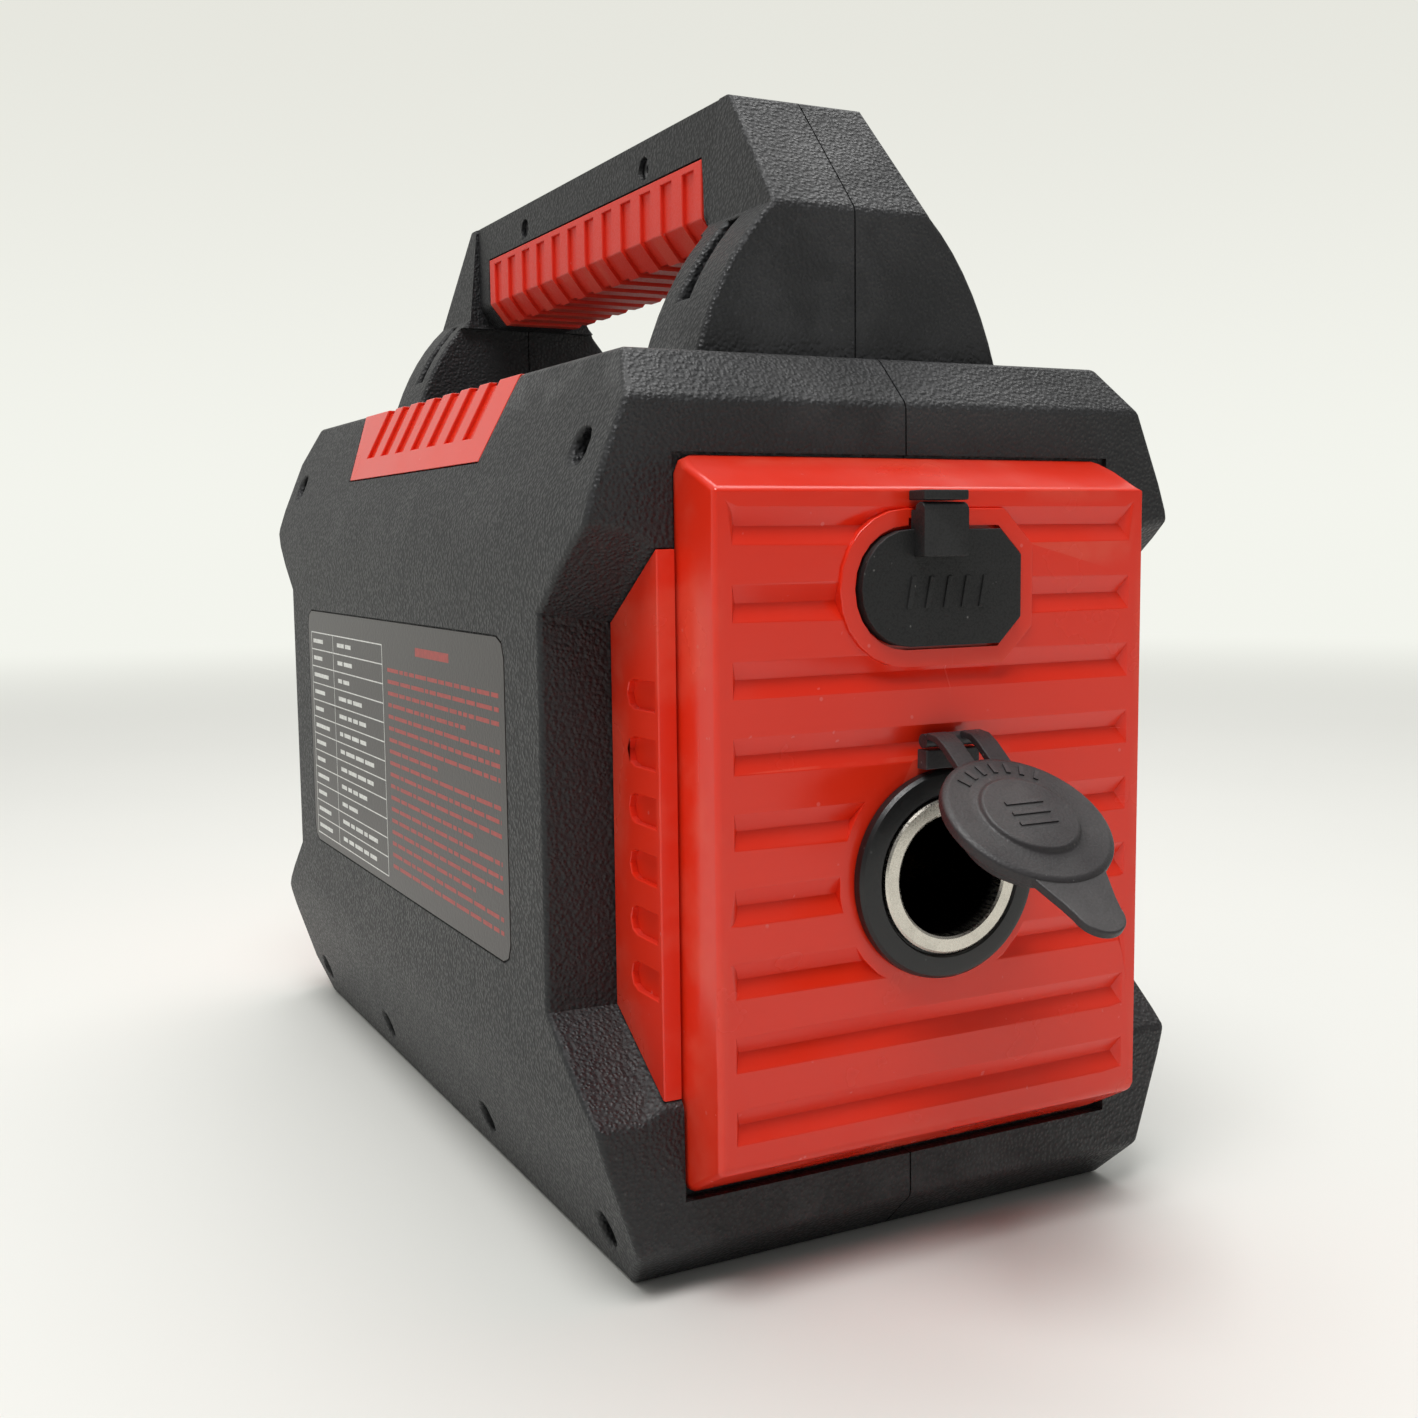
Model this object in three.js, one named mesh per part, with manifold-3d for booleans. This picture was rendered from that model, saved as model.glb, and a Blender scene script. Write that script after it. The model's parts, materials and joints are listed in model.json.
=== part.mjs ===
// A portable jump starter pack: a two-part moulded case with a carrying handle, a red control end and
// a red outlet end. Millimetres, +Z up, X across, Y along; the outlet end faces -Y.
// The origin is the middle of the base.
import * as THREE from "three";
import { ConvexGeometry } from "three/addons/geometries/ConvexGeometry.js";
import { mergeVertices } from "three/addons/utils/BufferGeometryUtils.js";
import Module from "manifold-3d";

const wasm = await Module();
wasm.setup();

// ---------------------------------------------------------------- driving sizes
const GAP = 0.3; // between faces that touch
const WALL = 2.5; // moulded walls
const FAR = 400; // reach of a cutter that runs right through

const BODY = {
  height: 157,
  baseHalfWidth: 50.5,
  waistHalfWidth: 60.7,
  topHalfWidth: 49,
  lowFold: 31, // where the sides turn upright
  highFold: 128, // where the sides turn in again
  foldRadius: 40,
  foldSteps: 3,
  lowHalfLength: 110.3,
  highHalfLength: 108.4,
  endBevel: 8.6,
};

// The waist recess at each end: its floor, and its slopes at the inner and the outer edge.
const RECESS = {
  floorY: 90.3,
  innerX: 48,
  inner: { lowFloor: 45.6, highFloor: 112.1, lowSlope: 0.645, highSlope: 0.678 },
  outer: { lowFloor: 45.8, highFloor: 113.8, lowSlope: 0.761, highSlope: 0.802 },
};

const WINDOW = { halfWidth: 36, low: 50, high: 127 }; // opening through each end wall

const PANEL = {
  seatY: 107.7, // floor of the seat that the panel stands on
  frontY: 120,
  backHalfWidth: 44,
  frontHalfWidth: 43,
  backLow: 17,
  backHigh: 139.3,
  frontLow: 24,
  frontHigh: 133.7,
  cornerRadius: 3,
  skin: 4.2,
  seatClearance: 0.5,
};

const GROOVE = { count: 9, firstTop: 130.8, pitch: 12.04, height: 6, depth: 1.6, halfLength: 40, hip: 1.3 };

const VENT = { count: 6, firstHigh: 103, pitch: 9.55, height: 4.9, inY: 97, outY: 107.5, depth: 1.2 };

const START = {
  left: -17.5,
  right: 15,
  low: 107.6,
  high: 127.4,
  corner: 4.5,
  bossMargin: 3.1,
  bossProud: 0.6,
  recessFloorY: 119.1,
  coverThick: 2.4,
  plugDeep: 0.8,
  portHalfWidth: 12.6,
  portHalfHeight: 7,
  faceY: 113.6,
  backY: 91.5,
  contactSpacing: 13,
  contactBore: 3,
  contactOuter: 4,
};
const START_MIDDLE = { x: (START.left + START.right) / 2, z: (START.low + START.high) / 2 };

const HINGE = { y: 123.4, z: 130.2, radius: 1.3, halfWidth: 4.4, offsetX: -2.8 }; // start cover

const SOCKET_BORE = 10.5; // half of the standard 21 mm
const LIGHTER = {
  z: 69.2,
  bore: SOCKET_BORE,
  barrel: SOCKET_BORE + 0.9,
  lip: SOCKET_BORE + 2.9,
  lipThick: 1,
  flange: SOCKET_BORE + 7.5,
  sleeve: SOCKET_BORE + 3.3,
  flangeFrontY: 122.6,
  bossRadius: SOCKET_BORE + 10,
  backY: 78,
  sleeveBackY: 103,
  nut: SOCKET_BORE + 6.5,
  nutThick: 5,
  steps: 32,
};

const CAP = {
  hingeY: 121.8,
  hingeZ: 92.2,
  restOpen: 56, // degrees the cap stands open at rest
  radius: SOCKET_BORE + 3.7,
  faceY: 125.4, // outer face, when shut
  thick: 2.2,
  plugOuter: SOCKET_BORE - 1,
  plugInner: SOCKET_BORE - 2.9,
  plugLength: 4.4,
  badge: 8.5,
  badgeProud: 0.8,
  tabReach: 24.5,
  tabHalfWidth: 4.2,
  strapHalfWidth: 5.4,
  strapSlot: 1.5,
  strapThick: 1.6,
  barrel: 1.2,
};

const HANDLE = {
  top: BODY.height + 50,
  topHalfLength: 72.5,
  shoulderZ: BODY.height + 27,
  halfLength: 92.4,
  postInnerY: 70,
  topHalfWidth: 14.3,
  shoulderHalfWidth: 16.5,
  flareControlX: 26.7,
  flareControlZ: BODY.height + 17.5,
  flareHalfWidth: 31.7,
  flareSteps: 7,
  gripHalfLength: 68,
  gripHalfWidth: 13.8,
  underside: BODY.height + 24.8,
  undersideHalfWidth: 9.5,
  sideLow: BODY.height + 30,
  tenonHalfWidth: 14,
  tenonIn: 76,
  tenonOut: 87,
  tenonLip: 3,
  slotY: 79,
  slotHalfWidth: 2.2,
  slotLow: BODY.height + 11.5,
  slotHigh: BODY.height + 26,
};

const GRIP = {
  halfLength: 60,
  high: HANDLE.top - 9,
  thick: 2,
  ribCount: 12,
  ribFirst: -56.6,
  ribPitch: 9.82,
  ribWidth: 5,
  ribHigh: HANDLE.top - 10.4,
  ribDepth: 0.8,
};

const ACCENT = {
  topHalfLength: 54,
  lowHalfLength: 47,
  low: BODY.height - 16,
  thick: 1.6,
  grooves: 7,
  grooveLow: BODY.height - 11,
  grooveDepth: 0.8,
};

const LABEL = { halfLength: 73, low: 50, high: 109, thick: 0.3, corner: 4, steps: 2 };

const SEAM = { offset: 0.1, tabHalf: 6, tabReach: 6, tabClearance: 0.3 };

const SCREW = { head: 2.8, headThick: 2, shank: 1.5, hole: 3.1, boss: 5, headDepth: 17, reach: 14, steps: 12 };
const CASE_SCREWS = [
  { y: -97, z: BODY.height - 16 },
  { y: 97, z: BODY.height - 16 },
  { y: -97, z: 8.6 },
  { y: -36, z: 8.6 },
  { y: 36, z: 8.6 },
  { y: 97, z: 8.6 },
];
const GRIP_SCREW = {
  y: 34.2,
  z: HANDLE.top - 5.5,
  head: 2,
  headThick: 1.6,
  shank: 1.1,
  hole: 2.3,
  boss: 3,
  headDepth: 3,
  reach: 7,
};

const CELL = {
  count: 4,
  thick: 27,
  spacing: 0.5,
  width: 70,
  height: 108,
  corner: 3,
  terminal: 5,
  terminalHigh: 3,
  terminalX: 22,
};
const CELL_PITCH = CELL.thick + CELL.spacing;
const TRAY = { floor: 3, wall: 2.5, height: 22, clearance: 0.3 };
const BUSBAR = { width: 12, thick: 2, overlap: 6 };
const SIDE_RIB = { thick: 2, y: 30, low: 12, high: 120 };
const LEAD = { radius: 3, sides: 8, steps: 22 };
const POWER_BOARD = { halfWidth: 38, halfLength: 42, z: BODY.height - 14, thick: 1.6, postX: 30, postY: 34, postRadius: 3 };
const CONTROL_BOARD = { halfWidth: 41, low: 52, high: 112, y: 99, thick: 1.6, postX: 38.5, postRadius: 2.6 };

const FLAT_ZONE = { halfWidth: 34, low: 58, high: 101 }; // no grooves round the buttons and ports
const DISPLAY = {
  halfWidth: 23,
  low: 107,
  high: 129,
  recess: 1,
  windowThick: 2,
  moduleMargin: 2.5,
  moduleDepth: 7,
};
const POWER_BUTTON = { x: -15, z: 90, radius: 8, steps: 24 };
const LIGHT_BUTTON = { x: 15, z: 90, radius: 6, steps: 24 };
const BUTTON = {
  proud: 1.2,
  travel: 1,
  skirt: 1.5,
  skirtThick: 1.4,
  stem: 2.4,
  switchHalf: 3.5,
  switchHigh: 2.6,
};
const USB = {
  xs: [-24, -5],
  z: 69,
  halfWidth: 7.4,
  halfHeight: 4.3,
  wall: 1,
  boreDeep: 13,
  tongueThick: 1.7,
  tongueShort: 3,
};
const DC = { x: 20, z: 69, outer: 6.5, bore: 3.6, pin: 1, deep: 10, steps: 20 };
const DC_COVER = { radius: 8.4, thick: 2.2, hingeRise: 10.6, tab: 3.2, barrel: 1.1, recess: 0.9 };
const LAMP = { z: 42, radius: 12, lensThick: 2.4, deep: 9.5, wall: 1.2, steps: 32 };

// ---------------------------------------------------------------- shape helpers
function outline(points) {
  return new THREE.Shape(points.map(([u, v]) => new THREE.Vector2(u, v)));
}

// A closed mesh as a solid that can be joined and cut.
function solidOf(geometry) {
  const bare = geometry.index ? geometry.toNonIndexed() : geometry.clone();
  for (const name of Object.keys(bare.attributes)) if (name !== "position") bare.deleteAttribute(name);
  const merged = mergeVertices(bare, 1e-5);
  return new wasm.Manifold(
    new wasm.Mesh({
      numProp: 3,
      vertProperties: new Float32Array(merged.attributes.position.array),
      triVerts: new Uint32Array(merged.index.array),
    }),
  );
}

function extruded(points, length) {
  return new THREE.ExtrudeGeometry(outline(points), { depth: length, bevelEnabled: false, steps: 1 });
}

const X = new THREE.Vector3(1, 0, 0);
const Y = new THREE.Vector3(0, 1, 0);
const Z = new THREE.Vector3(0, 0, 1);

// prismX takes a profile of (y, z) points, prismY of (x, z) points and prismZ of (x, y) points.
function prismX(points, from, to) {
  const place = new THREE.Matrix4().makeBasis(Y, Z, X).setPosition(from, 0, 0);
  return solidOf(extruded(points, to - from).applyMatrix4(place));
}
function prismY(points, from, to) {
  const place = new THREE.Matrix4().makeBasis(X, Z, Y.clone().negate()).setPosition(0, to, 0);
  return solidOf(extruded(points, to - from).applyMatrix4(place));
}
function prismZ(points, from, to) {
  return solidOf(extruded(points, to - from).translate(0, 0, from));
}
function box(x0, x1, y0, y1, z0, z1) {
  const middle = [(x0 + x1) / 2, (y0 + y1) / 2, (z0 + z1) / 2];
  return solidOf(new THREE.BoxGeometry(x1 - x0, y1 - y0, z1 - z0).translate(...middle));
}

function circle(u, v, radius, steps) {
  const turn = (k) => ((k + 0.5) / steps) * 2 * Math.PI;
  const point = (k) => [u + radius * Math.cos(turn(k)), v + radius * Math.sin(turn(k))];
  return Array.from({ length: steps }, (_, k) => point(k));
}
function rodX(y, z, radius, from, to, steps = SCREW.steps) {
  return prismX(circle(y, z, radius, steps), from, to);
}
function rodY(x, z, radius, from, to, steps = SCREW.steps) {
  return prismY(circle(x, z, radius, steps), from, to);
}
function rodZ(x, y, radius, from, to, steps = SCREW.steps) {
  return prismZ(circle(x, y, radius, steps), from, to);
}
// A solid turned about the Y axis through (x, z), from a profile of (radius, y) points.
function turnedY(x, z, profile, steps) {
  const points = profile.map(([radius, y]) => new THREE.Vector2(radius, y));
  const turned = (path) => solidOf(new THREE.LatheGeometry(path, steps).translate(x, 0, z));
  const solid = turned([...points, points[0]]);
  return solid.volume() < 0 ? turned([...points, points[0]].reverse()) : solid;
}
function rectangle(u0, u1, v0, v1) {
  return [[u0, v0], [u1, v0], [u1, v1], [u0, v1]];
}

// Rounds the corners of an outline: radii holds one radius for each corner, 0 for a sharp one.
function rounded(points, radii, steps) {
  const out = [];
  points.forEach((corner, k) => {
    const p = new THREE.Vector2(...corner);
    const before = new THREE.Vector2(...points.at(k - 1)).sub(p).normalize();
    const after = new THREE.Vector2(...points[(k + 1) % points.length]).sub(p).normalize();
    if (!radii[k]) return out.push(corner);
    const half = Math.acos(before.dot(after)) / 2;
    const reach = radii[k] / Math.tan(half);
    const start = p.clone().addScaledVector(before, reach);
    const end = p.clone().addScaledVector(after, reach);
    const centre = p.clone().addScaledVector(before.clone().add(after).normalize(), radii[k] / Math.sin(half));
    const a0 = start.clone().sub(centre).angle();
    let sweep = end.clone().sub(centre).angle() - a0;
    if (sweep > Math.PI) sweep -= 2 * Math.PI;
    if (sweep < -Math.PI) sweep += 2 * Math.PI;
    for (let s = 0; s <= steps; s++) {
      const a = a0 + (sweep * s) / steps;
      out.push([centre.x + radii[k] * Math.cos(a), centre.y + radii[k] * Math.sin(a)]);
    }
  });
  return out;
}

// Moves every edge of a convex outline, drawn anticlockwise, inwards.
function inset(points, distance) {
  const edges = points.map((p, k) => {
    const q = points[(k + 1) % points.length];
    const along = new THREE.Vector2(q[0] - p[0], q[1] - p[1]).normalize();
    const inward = new THREE.Vector2(-along.y, along.x);
    return { point: new THREE.Vector2(...p).addScaledVector(inward, distance), along };
  });
  return edges.map((edge, k) => {
    const last = edges.at(k - 1);
    const between = edge.point.clone().sub(last.point);
    const t = between.cross(edge.along) / last.along.cross(edge.along);
    return last.point.clone().addScaledVector(last.along, t).toArray();
  });
}
function mirroredX(points) {
  return points.map(([u, v]) => [-u, v]).reverse();
}
function join(...solids) {
  return solids.reduce((sum, one) => sum.add(one));
}
function cut(solid, ...tools) {
  return tools.reduce((rest, tool) => rest.subtract(tool), solid);
}

// ---------------------------------------------------------------- the group
const pack = new THREE.Group();

const finishes = {
  shell: { color: 0x1b1c1e, roughness: 0.62, metalness: 0 },
  red: { color: 0xdc2f1c, roughness: 0.28, metalness: 0 },
  rubber: { color: 0x242426, roughness: 0.8, metalness: 0 },
  darkPlastic: { color: 0x161617, roughness: 0.45, metalness: 0 },
  label: { color: 0x4a4340, roughness: 0.55, metalness: 0 },
  nickel: { color: 0xc9c6bd, roughness: 0.3, metalness: 1 },
  brass: { color: 0xb99a55, roughness: 0.35, metalness: 1 },
  copper: { color: 0xb8734a, roughness: 0.35, metalness: 1 },
  steel: { color: 0x8c8f94, roughness: 0.4, metalness: 1 },
  cell: { color: 0x3a66a8, roughness: 0.35, metalness: 0 },
  board: { color: 0x1f6b3a, roughness: 0.5, metalness: 0 },
  clear: { color: 0x20252a, roughness: 0.08, metalness: 0 },
  lens: { color: 0xf2f4f5, roughness: 0.1, metalness: 0 },
};
const materials = Object.fromEntries(
  Object.entries(finishes).map(([name, look]) => [name, new THREE.MeshStandardMaterial(look)]),
);

function add(name, solid, finish, parent = pack) {
  const { vertProperties, triVerts, numProp } = solid.getMesh();
  const geometry = new THREE.BufferGeometry();
  const positions = new Float32Array((vertProperties.length / numProp) * 3);
  for (let k = 0; k < positions.length / 3; k++) {
    positions.set(vertProperties.subarray(k * numProp, k * numProp + 3), k * 3);
  }
  geometry.setAttribute("position", new THREE.BufferAttribute(positions, 3));
  geometry.setIndex(new THREE.BufferAttribute(triVerts, 1));
  geometry.computeVertexNormals();
  const mesh = new THREE.Mesh(geometry, materials[finish]);
  mesh.name = name;
  parent.add(mesh);
  return mesh;
}

// ---------------------------------------------------------------- case
const sideOutline = [
  [BODY.endBevel - BODY.lowHalfLength, 0],
  [BODY.lowHalfLength - BODY.endBevel, 0],
  [BODY.lowHalfLength, BODY.endBevel],
  [BODY.highHalfLength, BODY.height - BODY.endBevel],
  [BODY.highHalfLength - BODY.endBevel, BODY.height],
  [BODY.endBevel - BODY.highHalfLength, BODY.height],
  [-BODY.highHalfLength, BODY.height - BODY.endBevel],
  [-BODY.lowHalfLength, BODY.endBevel],
];
const frontOutline = rounded(
  [
    [-BODY.baseHalfWidth, 0],
    [BODY.baseHalfWidth, 0],
    [BODY.waistHalfWidth, BODY.lowFold],
    [BODY.waistHalfWidth, BODY.highFold],
    [BODY.topHalfWidth, BODY.height],
    [-BODY.topHalfWidth, BODY.height],
    [-BODY.waistHalfWidth, BODY.highFold],
    [-BODY.waistHalfWidth, BODY.lowFold],
  ],
  [0, 0, BODY.foldRadius, BODY.foldRadius, 0, 0, BODY.foldRadius, BODY.foldRadius],
  BODY.foldSteps,
);

// The whole body's block, with every face moved inwards.
function bodyBlock(distance) {
  const side = distance ? inset(sideOutline, distance) : sideOutline;
  const front = distance ? inset(frontOutline, distance) : frontOutline;
  return prismX(side, -FAR, FAR).intersect(prismY(front, -FAR, FAR));
}

// One end's waist recess. Growing it leaves a wall round it; end is -1 or 1.
function recessCutter(end, grow) {
  const reach = 2 * (PANEL.frontY - RECESS.floorY);
  const floor = RECESS.floorY - grow;
  const station = (x, edge) => {
    const low = edge.lowFloor - grow * Math.hypot(1, edge.lowSlope);
    const high = edge.highFloor + grow * Math.hypot(1, edge.highSlope);
    const back = (slope) => slope * (floor - RECESS.floorY);
    return [
      [x, end * floor, low - back(edge.lowSlope)],
      [x, end * floor, high + back(edge.highSlope)],
      [x, end * (floor + reach), low - back(edge.lowSlope) - edge.lowSlope * reach],
      [x, end * (floor + reach), high + back(edge.highSlope) + edge.highSlope * reach],
    ];
  };
  const outX = BODY.waistHalfWidth;
  const hull = (...stations) => solidOf(new ConvexGeometry(stations.flat().map((p) => new THREE.Vector3(...p))));
  return join(
    hull(station(-RECESS.innerX, RECESS.inner), station(RECESS.innerX, RECESS.inner)),
    hull(station(RECESS.innerX, RECESS.inner), station(outX, RECESS.outer)),
    hull(station(-RECESS.innerX, RECESS.inner), station(-outX, RECESS.outer)),
    hull(station(outX, RECESS.outer), station(outX + WALL, RECESS.outer)),
    hull(station(-outX, RECESS.outer), station(-outX - WALL, RECESS.outer)),
  );
}

function panelSeat(end) {
  const room = PANEL.seatClearance;
  const faces = [end * PANEL.seatY, end * FAR].sort((a, b) => a - b);
  return box(
    -PANEL.backHalfWidth - room,
    PANEL.backHalfWidth + room,
    ...faces,
    PANEL.backLow - room,
    PANEL.backHigh + room,
  );
}

function accentOutline(grow) {
  const slope = (ACCENT.topHalfLength - ACCENT.lowHalfLength) / (BODY.height - ACCENT.low);
  const high = BODY.height + WALL;
  const top = ACCENT.lowHalfLength + slope * (high - ACCENT.low) + grow;
  const low = ACCENT.lowHalfLength + grow;
  return [[-low, ACCENT.low - grow], [low, ACCENT.low - grow], [top, high], [-top, high]];
}

// The accents stay on the slanted sides and end in line with the edge of the top.
function accentSpan(side, grow) {
  const inner = BODY.topHalfWidth - ACCENT.thick - grow;
  return side < 0 ? [-FAR, -inner] : [inner, FAR];
}

function sideBosses() {
  const bosses = CASE_SCREWS.map(({ y, z }) => rodX(y, z, SCREW.boss, -FAR, FAR));
  const ribs = [-SIDE_RIB.y, SIDE_RIB.y].map((y) => {
    const inner = CELL.width / 2 + TRAY.wall + TRAY.clearance + GAP;
    const rib = box(-FAR, FAR, y - SIDE_RIB.thick / 2, y + SIDE_RIB.thick / 2, SIDE_RIB.low, SIDE_RIB.high);
    return cut(rib, box(-inner, inner, -FAR, FAR, -FAR, FAR));
  });
  const boardTop = POWER_BOARD.z + POWER_BOARD.thick + GAP;
  const posts = [-POWER_BOARD.postX, POWER_BOARD.postX].flatMap((x) =>
    [-POWER_BOARD.postY, POWER_BOARD.postY].map((y) =>
      rodZ(x, y, POWER_BOARD.postRadius, boardTop, BODY.height - WALL / 2),
    ),
  );
  return [...bosses, ...ribs, ...posts];
}

function caseBody() {
  const outer = cut(bodyBlock(0), recessCutter(-1, 0), recessCutter(1, 0), panelSeat(-1), panelSeat(1));
  const hollow = cut(bodyBlock(WALL), recessCutter(-1, WALL), recessCutter(1, WALL));
  // The panel seats cut into the end walls, so the hollow stays a wall's thickness behind them.
  const behindSeats = PANEL.seatY - WALL;
  const cavity = hollow.intersect(box(-FAR, FAR, -behindSeats, behindSeats, -FAR, FAR));
  const fittings = sideBosses().map((piece) => piece.intersect(bodyBlock(WALL / 2)));
  const window = box(-WINDOW.halfWidth, WINDOW.halfWidth, -FAR, FAR, WINDOW.low, WINDOW.high);
  const windowEnds = cut(window, box(-FAR, FAR, 1 - RECESS.floorY + WALL, RECESS.floorY - WALL - 1, -FAR, FAR));
  const whole = join(cut(outer, cavity), ...fittings);
  const tools = [windowEnds, ...tenonOpenings()];
  for (const side of [-1, 1]) {
    const accent = prismX(accentOutline(GAP), ...accentSpan(side, GAP));
    tools.push(cut(accent, bodyBlock(ACCENT.thick + GAP)));
  }
  return cut(whole, ...tools);
}

function tenonOpenings() {
  const half = HANDLE.tenonHalfWidth + GAP;
  return [-1, 1].map((end) => {
    const ys = [end * (HANDLE.tenonIn - GAP), end * (HANDLE.tenonOut + GAP)].sort((a, b) => a - b);
    return box(-half, half, ...ys, BODY.height - 2 * WALL, FAR);
  });
}

const seamLeft = SEAM.offset;
const seamRight = SEAM.offset + GAP;
const seamTab = (grow) =>
  box(-SEAM.tabHalf - grow, SEAM.tabReach + grow, -SEAM.tabHalf - grow, SEAM.tabHalf + grow, -WALL, WALL);

function buildCase() {
  const whole = caseBody();
  const labelRoom = LABEL.thick + GAP;
  const labelPocket = prismX(
    rounded(
      rectangle(-LABEL.halfLength - GAP, LABEL.halfLength + GAP, LABEL.low - GAP, LABEL.high + GAP),
      Array(4).fill(LABEL.corner),
      LABEL.steps,
    ),
    -FAR,
    labelRoom - BODY.waistHalfWidth,
  );
  const headSeat = SCREW.headDepth - BODY.waistHalfWidth + (BODY.waistHalfWidth - BODY.baseHalfWidth);
  const leftHalf = join(
    whole.intersect(box(-FAR, seamLeft, -FAR, FAR, -FAR, FAR)),
    whole.intersect(seamTab(0)),
  );
  const leftHoles = CASE_SCREWS.flatMap(({ y, z }) => [
    rodX(y, z, SCREW.hole, -FAR, headSeat),
    rodX(y, z, SCREW.shank + GAP, -FAR, FAR),
  ]);
  add("left_shell", cut(leftHalf, labelPocket, ...leftHoles), "shell");
  const rightHalf = cut(whole.intersect(box(seamRight, FAR, -FAR, FAR, -FAR, FAR)), seamTab(SEAM.tabClearance));
  const pilots = CASE_SCREWS.map(({ y, z }) => rodX(y, z, SCREW.shank + GAP, -FAR, SCREW.reach + 1));
  add("right_shell", cut(rightHalf, ...pilots), "shell");

  CASE_SCREWS.forEach(({ y, z }, k) => {
    const head = rodX(y, z, SCREW.head, headSeat - GAP - SCREW.headThick, headSeat - GAP);
    const recess = rodX(y, z, SCREW.head / 2, -FAR, headSeat - GAP - SCREW.headThick / 2, 6);
    const shank = rodX(y, z, SCREW.shank, headSeat - GAP - SCREW.headThick / 4, SCREW.reach);
    add(`case_screw_${k + 1}`, cut(join(head, shank), recess), "steel");
  });

  const sticker = prismX(
    rounded(
      rectangle(-LABEL.halfLength, LABEL.halfLength, LABEL.low, LABEL.high),
      Array(4).fill(LABEL.corner - GAP),
      LABEL.steps,
    ),
    -BODY.waistHalfWidth,
    LABEL.thick - BODY.waistHalfWidth,
  );
  add("rating_label", sticker, "label");
}

function buildAccents() {
  const skin = cut(bodyBlock(0), bodyBlock(ACCENT.thick));
  const slant = ACCENT.topHalfLength - ACCENT.lowHalfLength;
  const pitch = (2 * ACCENT.lowHalfLength) / (ACCENT.grooves + 1);
  const shallow = bodyBlock(ACCENT.grooveDepth);
  const grooves = Array.from({ length: ACCENT.grooves }, (_, k) => {
    const low = -ACCENT.lowHalfLength + pitch * (k + 1) - pitch / 4;
    const lean = slant * ((BODY.height - ACCENT.grooveLow) / (BODY.height - ACCENT.low));
    const high = low - lean;
    const reach = BODY.height + 1;
    return [
      [low, ACCENT.grooveLow],
      [low + pitch / 2, ACCENT.grooveLow],
      [high + pitch / 2, reach],
      [high, reach],
    ];
  });
  for (const [name, side] of [["left_accent", -1], ["right_accent", 1]]) {
    const plate = prismX(accentOutline(0), ...accentSpan(side, 0)).intersect(skin);
    const cutters = grooves.map((points) => cut(prismX(points, ...accentSpan(side, WALL)), shallow));
    add(name, cut(plate, ...cutters), "red");
  }
}

// ---------------------------------------------------------------- handle
function flarePoints() {
  const curve = new THREE.QuadraticBezierCurve(
    new THREE.Vector2(HANDLE.shoulderHalfWidth, HANDLE.shoulderZ),
    new THREE.Vector2(HANDLE.flareControlX, HANDLE.flareControlZ),
    new THREE.Vector2(HANDLE.flareHalfWidth, BODY.height + GAP),
  );
  return curve.getPoints(HANDLE.flareSteps).map((p) => p.toArray());
}

function postSolid(distance) {
  const base = BODY.height + GAP;
  const right = [...flarePoints().reverse(), [HANDLE.topHalfWidth, HANDLE.top]];
  const front = inset([...right, ...mirroredX(right)], distance);
  const side = inset(
    [
      [HANDLE.gripHalfLength, base],
      [HANDLE.halfLength, base],
      [HANDLE.halfLength, HANDLE.shoulderZ],
      [HANDLE.topHalfLength, HANDLE.top],
      [HANDLE.gripHalfLength, HANDLE.top],
    ],
    distance,
  );
  return prismX(side, -FAR, FAR).intersect(prismY(front, -FAR, FAR));
}

const gripOutline = [
  [-HANDLE.undersideHalfWidth, HANDLE.underside],
  [HANDLE.undersideHalfWidth, HANDLE.underside],
  [HANDLE.gripHalfWidth, HANDLE.sideLow],
  [HANDLE.gripHalfWidth, HANDLE.top],
  [-HANDLE.gripHalfWidth, HANDLE.top],
  [-HANDLE.gripHalfWidth, HANDLE.sideLow],
];

function barSolid(distance, halfLength) {
  return prismY(inset(gripOutline, distance), -halfLength, halfLength);
}

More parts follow.
